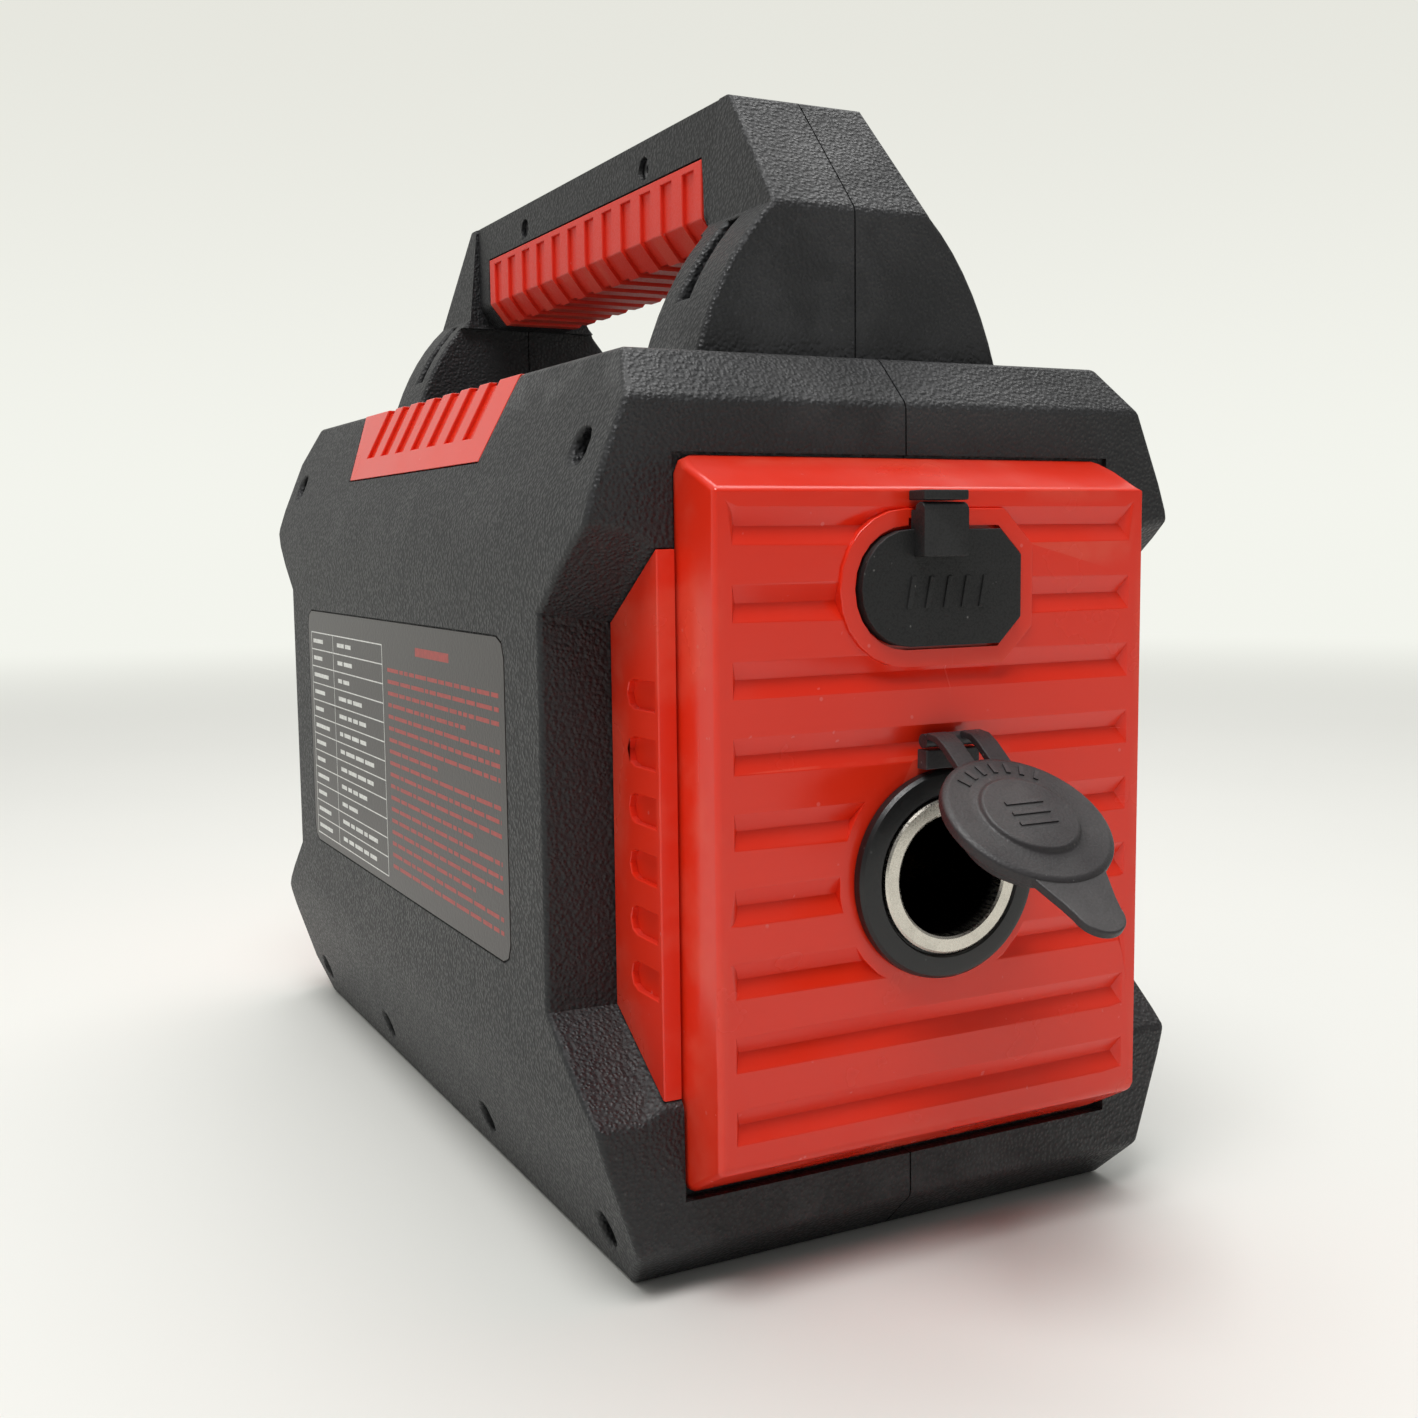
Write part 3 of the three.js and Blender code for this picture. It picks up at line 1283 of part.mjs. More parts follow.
function buildBoards() {
  const P = POWER_BOARD;
  const plate = box(-P.halfWidth, P.halfWidth, -P.halfLength, P.halfLength, P.z, P.z + P.thick);
  const chips = [-22, -8, 6, 20].map((x) => box(x - 5, x + 5, -12, 12, P.z + 0.5, P.z + P.thick + 4.5));
  const relay = box(-14, 14, 18, 36, P.z + 0.5, P.z + P.thick + 8);
  add("power_board", join(plate, relay, ...chips), "board");

  const C = CONTROL_BOARD;
  const face = C.y + C.thick;
  const board = box(-C.halfWidth, C.halfWidth, C.y, face, C.low, C.high);
  const switches = [POWER_BUTTON, LIGHT_BUTTON].map(({ x, z }) =>
    box(
      x - BUTTON.switchHalf,
      x + BUTTON.switchHalf,
      C.y + 1,
      face + BUTTON.switchHigh,
      z - BUTTON.switchHalf,
      z + BUTTON.switchHalf,
    ),
  );
  add("control_board", join(board, ...switches), "board");
}

buildCase();
buildAccents();
buildHandle();
buildFrontEnd();
buildLighterSocket();
buildBackEnd();
buildBattery();
buildLeads();
buildBoards();

export default pack;
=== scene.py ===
import json
import math
import random

import bmesh
import bpy
from bpy.props import FloatProperty, FloatVectorProperty, IntProperty, PointerProperty
from mathutils import Matrix, Vector
from mathutils.bvhtree import BVHTree


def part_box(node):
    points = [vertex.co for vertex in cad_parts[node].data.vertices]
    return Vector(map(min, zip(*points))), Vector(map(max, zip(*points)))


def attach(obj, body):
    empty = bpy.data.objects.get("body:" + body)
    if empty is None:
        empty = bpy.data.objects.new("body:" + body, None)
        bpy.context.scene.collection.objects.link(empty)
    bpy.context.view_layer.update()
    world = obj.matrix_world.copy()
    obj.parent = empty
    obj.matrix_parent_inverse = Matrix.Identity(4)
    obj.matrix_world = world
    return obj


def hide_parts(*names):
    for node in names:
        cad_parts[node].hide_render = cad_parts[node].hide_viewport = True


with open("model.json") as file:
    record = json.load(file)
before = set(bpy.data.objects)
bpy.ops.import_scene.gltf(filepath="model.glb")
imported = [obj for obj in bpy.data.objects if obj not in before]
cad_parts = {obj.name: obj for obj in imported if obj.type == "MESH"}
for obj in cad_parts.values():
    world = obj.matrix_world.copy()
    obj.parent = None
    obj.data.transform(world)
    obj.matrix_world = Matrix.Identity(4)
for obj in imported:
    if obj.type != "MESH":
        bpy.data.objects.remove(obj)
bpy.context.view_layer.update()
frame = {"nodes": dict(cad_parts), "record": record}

bl_info = {
    "name": "Jump Starter Pack",
    "version": (1, 0, 0),
    "blender": (4, 5, 0),
    "location": "View3D > Sidebar > Pack",
    "description": "Builds the finished surfaces of a portable jump starter pack",
    "category": "Add Mesh",
}

MM = 0.001
SMOOTH_ANGLE = math.radians(25)  # faces that meet flatter than this share their shading
BODY = "case"


# ---------------------------------------------------------------- settings
class PackShape(bpy.types.PropertyGroup):
    edge_round: FloatProperty(
        name="Case edge", description="Round on the long edges of the case", default=1.0 * MM, unit="LENGTH"
    )
    panel_round: FloatProperty(
        name="Panel edge", description="Round on the edges of the red panels", default=1.1 * MM, unit="LENGTH"
    )
    small_round: FloatProperty(
        name="Small edge", description="Round on ports, covers and trim", default=0.25 * MM, unit="LENGTH"
    )
    turn_steps: IntProperty(name="Turned steps", description="Steps round a turned piece", default=96)
    ridge_height: FloatProperty(
        name="Ridge height", description="How far moulded ridges stand up", default=0.3 * MM, unit="LENGTH"
    )


class PackColours(bpy.types.PropertyGroup):
    shell: FloatVectorProperty(
        name="Case", description="Moulded case", subtype="COLOR", default=(0.0105, 0.0108, 0.0120)
    )
    red: FloatVectorProperty(
        name="Red", description="Gloss red mouldings", subtype="COLOR", default=(0.76, 0.024, 0.0065)
    )
    rubber: FloatVectorProperty(
        name="Rubber", description="Port covers and buttons", subtype="COLOR", default=(0.0060, 0.0060, 0.0064)
    )
    cap: FloatVectorProperty(
        name="Cap", description="Socket cap", subtype="COLOR", default=(0.019, 0.0165, 0.0185)
    )
    label: FloatVectorProperty(
        name="Label", description="Label film", subtype="COLOR", default=(0.030, 0.024, 0.022)
    )


# ---------------------------------------------------------------- node helpers
def input_socket(tree, name, kind, default):
    socket = tree.interface.new_socket(name, in_out="INPUT", socket_type=kind)
    socket.default_value = default
    return socket


def node(tree, kind, **values):
    made = tree.nodes.new(kind)
    for key, value in values.items():
        setattr(made, key, value)
    return made


def feed(tree, target, value):
    """Links a socket to a target, or sets the target's own value."""
    if isinstance(value, bpy.types.NodeSocket):
        tree.links.new(value, target)
    else:
        target.default_value = value


def maths(tree, operation, first, second=0.0, clamp=False):
    made = node(tree, "ShaderNodeMath", operation=operation, use_clamp=clamp)
    feed(tree, made.inputs[0], first)
    feed(tree, made.inputs[1], second)
    return made.outputs[0]


def ramp(tree, value, low, high, out_low=0.0, out_high=1.0):
    made = node(tree, "ShaderNodeMapRange", interpolation_type="SMOOTHSTEP")
    feed(tree, made.inputs["Value"], value)
    for name, number in (("From Min", low), ("From Max", high), ("To Min", out_low), ("To Max", out_high)):
        feed(tree, made.inputs[name], number)
    return made.outputs["Result"]


def blend_colour(tree, factor, first, second):
    made = node(tree, "ShaderNodeMix", data_type="RGBA")
    feed(tree, made.inputs["Factor"], factor)
    feed(tree, made.inputs["A"], first if isinstance(first, bpy.types.NodeSocket) else (*first, 1))
    feed(tree, made.inputs["B"], second if isinstance(second, bpy.types.NodeSocket) else (*second, 1))
    return made.outputs["Result"]


def noise(tree, vector, scale, detail=2.0, roughness=0.5):
    made = node(tree, "ShaderNodeTexNoise")
    feed(tree, made.inputs["Vector"], vector)
    feed(tree, made.inputs["Scale"], scale)
    feed(tree, made.inputs["Detail"], detail)
    feed(tree, made.inputs["Roughness"], roughness)
    return made.outputs["Fac"]


def group_tree(name, inputs, outputs):
    """A new shader group with its named sockets, and its input and output nodes."""
    tree = bpy.data.node_groups.new(name, "ShaderNodeTree")
    for socket_name, default in inputs:
        input_socket(tree, socket_name, "NodeSocketFloat", default)
    for socket_name in outputs:
        tree.interface.new_socket(socket_name, in_out="OUTPUT", socket_type="NodeSocketFloat")
    return tree, node(tree, "NodeGroupInput").outputs, node(tree, "NodeGroupOutput").inputs


def moulded_grain_group():
    """Pebbled spark-eroded grain: rounded cells with fine noise between them."""
    tree, given, out = group_tree("Moulded Grain", [("Scale", 1500.0), ("Fine", 0.35)], ["Height", "Shine"])
    place = node(tree, "ShaderNodeTexCoord").outputs["Object"]
    cells = node(tree, "ShaderNodeTexVoronoi", feature="SMOOTH_F1")
    feed(tree, cells.inputs["Vector"], place)
    feed(tree, cells.inputs["Scale"], given["Scale"])
    cells.inputs["Smoothness"].default_value = 0.6
    fine = noise(tree, place, maths(tree, "MULTIPLY", given["Scale"], 1.7), detail=3.0, roughness=0.6)
    height = maths(tree, "SUBTRACT", 1.0, cells.outputs["Distance"])
    mixed = maths(tree, "ADD", height, maths(tree, "MULTIPLY", fine, given["Fine"]))
    feed(tree, out["Height"], mixed)
    feed(tree, out["Shine"], ramp(tree, mixed, 0.55, 1.0))
    return tree


def edge_wear_group():
    """A mask on the sharp outer edges, broken up as handling rubs them."""
    tree, given, out = group_tree("Edge Wear", [("Width", 0.06), ("Break Up", 90.0)], ["Wear"])
    geometry = node(tree, "ShaderNodeNewGeometry")
    place = node(tree, "ShaderNodeTexCoord").outputs["Object"]
    edge = ramp(tree, geometry.outputs["Pointiness"], 0.5, maths(tree, "ADD", 0.5, given["Width"]))
    patches = ramp(tree, noise(tree, place, given["Break Up"], detail=4.0), 0.42, 0.62)
    feed(tree, out["Wear"], maths(tree, "MULTIPLY", edge, patches))
    return tree


def dust_group():
    """Fine dust and lint that settles on upward faces, with a few specks everywhere."""
    tree, given, out = group_tree("Dust", [("Amount", 1.0), ("Speck Size", 700.0)], ["Dust"])
    geometry = node(tree, "ShaderNodeNewGeometry")
    place = node(tree, "ShaderNodeTexCoord").outputs["Object"]
    axes = node(tree, "ShaderNodeSeparateXYZ")
    feed(tree, axes.inputs[0], geometry.outputs["Normal"])
    upward = ramp(tree, axes.outputs["Z"], 0.1, 1.0)
    film = maths(tree, "MULTIPLY", upward, ramp(tree, noise(tree, place, 45.0, detail=5.0), 0.35, 0.75))
    cells = node(tree, "ShaderNodeTexVoronoi")
    feed(tree, cells.inputs["Vector"], place)
    feed(tree, cells.inputs["Scale"], given["Speck Size"])
    chosen = ramp(tree, noise(tree, place, 260.0, detail=1.0), 0.66, 0.7)
    specks = maths(tree, "MULTIPLY", ramp(tree, cells.outputs["Distance"], 0.22, 0.12), chosen)
    total = maths(tree, "ADD", maths(tree, "MULTIPLY", film, 0.5), specks)
    feed(tree, out["Dust"], maths(tree, "MULTIPLY", total, given["Amount"], clamp=True))
    return tree


def scuff_group():
    """Hairline scuffs in crossing directions, as on handled gloss plastic."""
    tree, given, out = group_tree("Scuffs", [("Density", 0.5)], ["Scuff"])
    place = node(tree, "ShaderNodeTexCoord").outputs["Object"]
    layers = []
    for turn, stretch in ((0.5, (18.0, 18.0, 700.0)), (-0.9, (800.0, 22.0, 22.0)), (1.3, (26.0, 900.0, 26.0))):
        mapping = node(tree, "ShaderNodeMapping")
        feed(tree, mapping.inputs["Vector"], place)
        mapping.inputs["Rotation"].default_value = (turn, turn * 0.7, turn * 1.3)
        mapping.inputs["Scale"].default_value = stretch
        layers.append(ramp(tree, noise(tree, mapping.outputs[0], 1.0, detail=1.0), 0.74, 0.8))
    lines = maths(tree, "MAXIMUM", maths(tree, "MAXIMUM", layers[0], layers[1]), layers[2])
    patches = ramp(tree, noise(tree, place, 35.0, detail=3.0), 0.5, 0.66)
    feed(tree, out["Scuff"], maths(tree, "MULTIPLY", maths(tree, "MULTIPLY", lines, patches), given["Density"]))
    return tree


GROUPS = {}


def place_group(tree, name, **values):
    makers = {
        "Moulded Grain": moulded_grain_group,
        "Edge Wear": edge_wear_group,
        "Dust": dust_group,
        "Scuffs": scuff_group,
    }
    if name not in GROUPS:
        GROUPS[name] = makers[name]()
    made = node(tree, "ShaderNodeGroup", node_tree=GROUPS[name])
    for key, value in values.items():
        made.inputs[key.replace("_", " ").title()].default_value = value
    return made.outputs


def start_material(name):
    """A material with its Principled shader: returns both and the tree."""
    material = bpy.data.materials.new(name)
    material.use_nodes = True
    tree = material.node_tree
    return material, tree, tree.nodes["Principled BSDF"]


def bump(tree, shader, height, distance, strength=1.0):
    made = node(tree, "ShaderNodeBump")
    made.inputs["Distance"].default_value = distance
    made.inputs["Strength"].default_value = strength
    feed(tree, made.inputs["Height"], height)
    feed(tree, shader.inputs["Normal"], made.outputs["Normal"])


# ---------------------------------------------------------------- materials
def shell_material(colour):
    material, tree, shader = start_material("textured_black")
    grain = place_group(tree, "Moulded Grain", scale=1350.0, fine=0.4)
    wear = place_group(tree, "Edge Wear", width=0.09, break_up=70.0)
    dust = place_group(tree, "Dust", amount=0.10)
    place = node(tree, "ShaderNodeTexCoord").outputs["Object"]
    cloudy = blend_colour(tree, noise(tree, place, 14.0, detail=3.0), colour, [c * 1.25 for c in colour])
    rubbed = blend_colour(tree, maths(tree, "MULTIPLY", wear["Wear"], 0.35), cloudy, (0.05, 0.05, 0.053))
    feed(tree, shader.inputs["Base Color"], blend_colour(tree, dust["Dust"], rubbed, (0.30, 0.29, 0.27)))
    rough = ramp(tree, grain["Shine"], 0.0, 1.0, 0.60, 0.42)
    feed(tree, shader.inputs["Roughness"], maths(tree, "SUBTRACT", rough, maths(tree, "MULTIPLY", wear["Wear"], 0.10)))
    shader.inputs["Specular IOR Level"].default_value = 0.5
    bump(tree, shader, grain["Height"], 0.00030, 0.9)
    return material


def red_material(colour):
    material, tree, shader = start_material("gloss_red")
    wear = place_group(tree, "Edge Wear", width=0.10, break_up=60.0)
    scuff = place_group(tree, "Scuffs", density=0.8)
    dust = place_group(tree, "Dust", amount=0.10, speck_size=500.0)
    place = node(tree, "ShaderNodeTexCoord").outputs["Object"]
    flow = noise(tree, place, 22.0, detail=2.0)
    body = blend_colour(tree, flow, colour, (colour[0] * 1.06, colour[1] * 1.25, colour[2] * 1.3))
    worn = blend_colour(tree, maths(tree, "MULTIPLY", wear["Wear"], 0.25), body, (0.82, 0.16, 0.10))
    marked = blend_colour(tree, maths(tree, "MULTIPLY", scuff["Scuff"], 0.25), worn, (0.90, 0.30, 0.22))
    feed(tree, shader.inputs["Base Color"], blend_colour(tree, dust["Dust"], marked, (0.8, 0.7, 0.66)))
    rough = ramp(tree, noise(tree, place, 60.0, detail=4.0), 0.3, 0.7, 0.20, 0.28)
    feed(tree, shader.inputs["Roughness"], maths(tree, "ADD", rough, maths(tree, "MULTIPLY", scuff["Scuff"], 0.25)))
    shader.inputs["Specular IOR Level"].default_value = 0.5
    peel = noise(tree, place, 420.0, detail=2.0)
    bump(tree, shader, maths(tree, "SUBTRACT", peel, maths(tree, "MULTIPLY", scuff["Scuff"], 0.8)), 0.00003, 0.6)
    return material


def grip_material(colour):
    material, tree, shader = start_material("satin_red_grip")
    grain = place_group(tree, "Moulded Grain", scale=2600.0, fine=0.5)
    dust = place_group(tree, "Dust", amount=0.14, speck_size=650.0)
    wear = place_group(tree, "Edge Wear", width=0.10, break_up=80.0)
    body = blend_colour(tree, maths(tree, "MULTIPLY", wear["Wear"], 0.3), colour, (0.80, 0.13, 0.08))
    feed(tree, shader.inputs["Base Color"], blend_colour(tree, dust["Dust"], body, (0.75, 0.6, 0.55)))
    feed(tree, shader.inputs["Roughness"], ramp(tree, grain["Shine"], 0.0, 1.0, 0.52, 0.40))
    bump(tree, shader, grain["Height"], 0.00006, 0.5)
    return material


def rubber_material(name, colour, roughness, grain_scale, dusty):
    material, tree, shader = start_material(name)
    grain = place_group(tree, "Moulded Grain", scale=grain_scale, fine=0.7)
    dust = place_group(tree, "Dust", amount=dusty, speck_size=900.0)
    wear = place_group(tree, "Edge Wear", width=0.12, break_up=120.0)
    rubbed = blend_colour(tree, maths(tree, "MULTIPLY", wear["Wear"], 0.5), colour, [c * 2.6 + 0.01 for c in colour])
    feed(tree, shader.inputs["Base Color"], blend_colour(tree, dust["Dust"], rubbed, (0.34, 0.33, 0.32)))
    feed(tree, shader.inputs["Roughness"], ramp(tree, grain["Shine"], 0.0, 1.0, roughness + 0.1, roughness - 0.05))
    bump(tree, shader, grain["Height"], 0.00006, 0.6)
    return material


def dark_plastic_material():
    material, tree, shader = start_material("satin_black")
    grain = place_group(tree, "Moulded Grain", scale=3200.0, fine=0.6)
    dust = place_group(tree, "Dust", amount=0.10, speck_size=900.0)
    feed(tree, shader.inputs["Base Color"], blend_colour(tree, dust["Dust"], (0.0075, 0.0075, 0.008), (0.3, 0.3, 0.3)))
    feed(tree, shader.inputs["Roughness"], ramp(tree, grain["Shine"], 0.0, 1.0, 0.42, 0.30))
    bump(tree, shader, grain["Height"], 0.00003, 0.4)
    return material


def metal_material(name, colour, roughness, brushing, painted_shade_beyond=None):
    """Plated or turned metal, with marks at the brushing scale; beyond a Y value it can be darkened with painted
    shade, as deep inside a bore.
    """
    material, tree, shader = start_material(name)
    place = node(tree, "ShaderNodeTexCoord").outputs["Object"]
    mapping = node(tree, "ShaderNodeMapping")
    feed(tree, mapping.inputs["Vector"], place)
    mapping.inputs["Scale"].default_value = brushing
    marks = noise(tree, mapping.outputs[0], 1.0, detail=3.0, roughness=0.6)
    stains = noise(tree, place, 160.0, detail=4.0)
    tarnish_and_shade = blend_colour(tree, ramp(tree, stains, 0.45, 0.75), colour, [c * 0.8 for c in colour])
    if painted_shade_beyond is not None:
        # Painted shade: the colour fades to near black deeper than this Y value, standing in for the shade inside the
        # bore.
        axes = node(tree, "ShaderNodeSeparateXYZ")
        feed(tree, axes.inputs[0], place)
        depth = ramp(tree, axes.outputs["Y"], painted_shade_beyond, painted_shade_beyond + 2.5 * MM)
        tarnish_and_shade = blend_colour(tree, depth, tarnish_and_shade, (0.035, 0.030, 0.025))
    feed(tree, shader.inputs["Base Color"], tarnish_and_shade)
    shader.inputs["Metallic"].default_value = 1.0
    feed(tree, shader.inputs["Roughness"], ramp(tree, marks, 0.3, 0.7, roughness - 0.06, roughness + 0.1))
    bump(tree, shader, marks, 0.000008, 0.4)
    return material


def label_material(colour):
    material, tree, shader = start_material("label_film")
    dust = place_group(tree, "Dust", amount=0.12, speck_size=800.0)
    scuff = place_group(tree, "Scuffs", density=0.5)
    grain = place_group(tree, "Moulded Grain", scale=1350.0, fine=0.4)
    marked = blend_colour(tree, maths(tree, "MULTIPLY", scuff["Scuff"], 0.4), colour, (0.16, 0.14, 0.13))
    feed(tree, shader.inputs["Base Color"], blend_colour(tree, dust["Dust"], marked, (0.3, 0.28, 0.26)))
    feed(tree, shader.inputs["Roughness"], ramp(tree, scuff["Scuff"], 0.0, 0.5, 0.36, 0.55))
    bump(tree, shader, grain["Height"], 0.00008, 0.35)
    return material


def ink_material(name, colour):
    material, tree, shader = start_material(name)
    place = node(tree, "ShaderNodeTexCoord").outputs["Object"]
    thin = ramp(tree, noise(tree, place, 900.0, detail=3.0), 0.35, 0.65)
    feed(tree, shader.inputs["Base Color"], blend_colour(tree, thin, colour, [c * 0.82 for c in colour]))
    shader.inputs["Roughness"].default_value = 0.45
    return material


def board_material():
    material, tree, shader = start_material("solder_mask")
    place = node(tree, "ShaderNodeTexCoord").outputs["Object"]
    tracks = node(tree, "ShaderNodeTexBrick")
    feed(tree, tracks.inputs["Vector"], place)
    tracks.inputs["Scale"].default_value = 160.0
    shade = blend_colour(tree, tracks.outputs["Fac"], (0.010, 0.10, 0.030), (0.020, 0.16, 0.05))
    feed(tree, shader.inputs["Base Color"], shade)
    shader.inputs["Roughness"].default_value = 0.35
    bump(tree, shader, tracks.outputs["Fac"], 0.00003, 0.6)
    return material


def wrap_material(name, colour, roughness=0.3):
    material, tree, shader = start_material(name)
    place = node(tree, "ShaderNodeTexCoord").outputs["Object"]
    crinkle = noise(tree, place, 120.0, detail=5.0)
    feed(tree, shader.inputs["Base Color"], blend_colour(tree, crinkle, colour, [c * 1.3 for c in colour]))
    feed(tree, shader.inputs["Roughness"], ramp(tree, crinkle, 0.3, 0.7, roughness, roughness + 0.15))
    bump(tree, shader, crinkle, 0.00015, 0.3)
    return material


def window_material():
    material, tree, shader = start_material("smoked_window")
    scuff = place_group(tree, "Scuffs", density=0.5)
    feed(tree, shader.inputs["Base Color"], blend_colour(tree, scuff["Scuff"], (0.006, 0.007, 0.009), (0.2, 0.2, 0.2)))
    feed(tree, shader.inputs["Roughness"], ramp(tree, scuff["Scuff"], 0.0, 0.6, 0.05, 0.35))
    return material


def lens_material():
    material, tree, shader = start_material("clear_lens")
    shader.inputs["Base Color"].default_value = (0.95, 0.97, 0.98, 1)
    shader.inputs["Transmission Weight"].default_value = 1.0
    shader.inputs["IOR"].default_value = 1.49
    place = node(tree, "ShaderNodeTexCoord").outputs["Object"]
    feed(tree, shader.inputs["Roughness"], ramp(tree, noise(tree, place, 300.0), 0.3, 0.7, 0.03, 0.10))
    return material


MATERIALS = {}


def material_for(slot):
    """The finish that belongs to a record slot, made once."""
    colours = bpy.context.scene.pack_colours
    makers = {
        "shell_plastic": lambda: shell_material(list(colours.shell)),
        "red_plastic": lambda: red_material(list(colours.red)),
        "grip_red": lambda: grip_material(list(colours.red)),
        "soft_rubber": lambda: rubber_material("soft_rubber", list(colours.rubber), 0.62, 2600.0, 0.35),
        "cap_rubber": lambda: rubber_material("cap_rubber", list(colours.cap), 0.5, 2200.0, 0.35),
        "dark_plastic": dark_plastic_material,
        "label_film": lambda: label_material(list(colours.label)),
        "nickel_plate": lambda: metal_material("nickel_plate", (0.74, 0.70, 0.63), 0.24, (400, 2600, 400)),
        # The socket metal gets painted shade deeper in its bore, beyond -121.9 mm.
        "socket_nickel": lambda: metal_material(
            "socket_nickel", (0.66, 0.62, 0.55), 0.26, (2200, 300, 2200), -121.9 * MM
        ),
        "brass": lambda: metal_material("brass", (0.62, 0.42, 0.16), 0.30, (400, 2600, 400)),
        "copper": lambda: metal_material("copper", (0.72, 0.33, 0.19), 0.30, (60, 900, 900)),
        "screw_steel": lambda: metal_material("screw_steel", (0.30, 0.30, 0.31), 0.38, (900, 300, 300)),
        "cell_wrap": lambda: wrap_material("cell_wrap", (0.03, 0.11, 0.36)),
        "circuit_board": board_material,
        "display_glass": window_material,
        "lens_clear": lens_material,
        "lead_cover": lambda: wrap_material("lead_cover", (0.012, 0.012, 0.012), 0.5),
        "lead_cover_red": lambda: wrap_material("lead_cover_red", (0.45, 0.02, 0.015), 0.5),
        "label_white": lambda: ink_material("label_white", (0.80, 0.80, 0.77)),
        "label_red": lambda: ink_material("label_red", (0.42, 0.045, 0.035)),
    }
    if slot not in MATERIALS:
        MATERIALS[slot] = makers[slot]()
    return MATERIALS[slot]


# ---------------------------------------------------------------- mesh helpers
def weigh_normals(data):
    """Shades each corner by the larger faces round it, so flat faces stay flat beside rounded edges."""
    limit = math.cos(SMOOTH_ANGLE)
    normals = [face.normal.copy() for face in data.polygons]
    areas = [face.area for face in data.polygons]
    around = [[] for _ in data.vertices]
    for face in data.polygons:
        for vertex in face.vertices:
            around[vertex].append(face.index)
    corners = []
    for face in data.polygons:
        for vertex in face.vertices:
            total = Vector()
            for other in around[vertex]:
                if normals[other].dot(normals[face.index]) > limit:
                    total += normals[other] * areas[other]
            corners.append(total.normalized() if total.length > 0 else normals[face.index])
    data.normals_split_custom_set(corners)


def all_parts_tree():
    """One search tree over every CAD node, to tell edges in the open from buried ones."""
    points, faces = [], []
    for part in frame["nodes"].values():
        start = len(points)
        points += [part.matrix_world @ v.co for v in part.data.vertices]
        faces += [[start + k for k in face.vertices] for face in part.data.polygons]
    return BVHTree.FromPolygons(points, faces)


OPEN_SPACE = all_parts_tree()


def new_piece(name, mesh, slot, body=BODY, stands_for=(), finish=None):
    """Adds a finished mesh as one piece, with its finish, its body and the nodes that it stands for."""
    data = bpy.data.meshes.new(name)
    mesh.to_mesh(data)
    mesh.free()
    data.materials.append(material_for(finish or slot))
    piece = bpy.data.objects.new(name, data)
    bpy.context.scene.collection.objects.link(piece)
    data.shade_smooth()
    weigh_normals(data)
    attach(piece, body)
    if stands_for:
        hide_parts(*stands_for)
    return piece


def copy_of(node_name):
    """A CAD node's mesh with its doubles merged and its flat facets joined."""
    mesh = bmesh.new()
    mesh.from_mesh(frame["nodes"][node_name].data)
    bmesh.ops.remove_doubles(mesh, verts=mesh.verts, dist=1e-6)
    bmesh.ops.dissolve_limit(
        mesh,
        angle_limit=math.radians(0.4),
        use_dissolve_boundaries=False,
        verts=mesh.verts,
        edges=mesh.edges,
        delimit={"NORMAL"},
    )
    return mesh


def sharp_edges(mesh, angle=math.radians(14)):
    return [e for e in mesh.edges if len(e.link_faces) == 2 and e.calc_face_angle(0.0) > angle]


def has_room(edge, width):
    """True where rounding an edge by width reaches no other outline of the faces beside it."""
    start, end = (v.co for v in edge.verts)
    along = (end - start).normalized()
    for face in edge.link_faces:
        for vertex in face.verts:
            if vertex in edge.verts:
                continue
            offset = vertex.co - start
            reach = min(max(offset.dot(along), 0.0), (end - start).length)
            gap = (offset - along * reach).length
            beside = any(other in edge.verts for e in vertex.link_edges for other in e.verts)
            if beside:
                turned = (offset - along * offset.dot(along)).length
                if turned > 0.5 * gap and gap < 1.3 * width:
                    return False
            elif gap < 2.2 * width:
                return False
    return True


def open_edges(mesh, width, angle=math.radians(14)):
    """Outward edges of a CAD copy that face open space and have room for a round."""
    kept = []
    for edge in sharp_edges(mesh, angle):
        if not edge.is_convex or not has_room(edge, width):
            continue
        normal = sum((f.normal for f in edge.link_faces), Vector())
        if normal.length < 1e-6:
            continue
        normal.normalize()
        middle = (edge.verts[0].co + edge.verts[1].co) / 2
        if OPEN_SPACE.ray_cast(middle + normal * 0.15 * MM, normal)[0] is None:
            kept.append(edge)
    return kept


def round_edges(mesh, edges, width, segments=4, clamp=False):
    bmesh.ops.bevel(
        mesh,
        geom=edges,
        offset=width,
        offset_type="OFFSET",
        affect="EDGES",
        segments=segments,
        profile=0.5,
        material=-1,
        clamp_overlap=clamp,
        loop_slide=True,
    )


def on_seam(edge):
    """True for the edges of the joint down the middle, where the two mouldings meet."""
    return all(0 < v.co.x < 0.5 * MM for v in edge.verts)


def rounded_copy(node_name, piece_name, slot, wide, body=BODY, narrow=None, wide_from=14):
    """A CAD node's shape with its open edges rounded, the finer ones by less; wide_from is in degrees."""
    mesh = copy_of(node_name)
    passes = ((wide, wide_from),) + (((narrow, 25),) if narrow else ())
    for width, angle in passes:
        edges = open_edges(mesh, width, math.radians(angle))
        round_edges(mesh, [e for e in edges if not on_seam(e)], width)
    return new_piece(piece_name, mesh, slot, body, (node_name,))


def spun(profile, centre, steps, axis=(0, 1, 0)):
    """A ring or disc turned about the Y axis through centre, from (radius, y) points in millimetres."""
    mesh = bmesh.new()
    verts = [mesh.verts.new((centre[0] + r * MM, y * MM, centre[2])) for r, y in profile]
    edges = [mesh.edges.new((a, b)) for a, b in zip(verts, verts[1:])]
    if profile[0][0] > 0:
        edges.append(mesh.edges.new((verts[-1], verts[0])))
    bmesh.ops.spin(
        mesh,
        geom=verts + edges,
        cent=centre,
        axis=axis,
        angle=2 * math.pi,
        steps=steps,
        use_merge=True,
    )
    bmesh.ops.remove_doubles(mesh, verts=mesh.verts, dist=1e-7)
    bmesh.ops.recalc_face_normals(mesh, faces=mesh.faces)
    return mesh


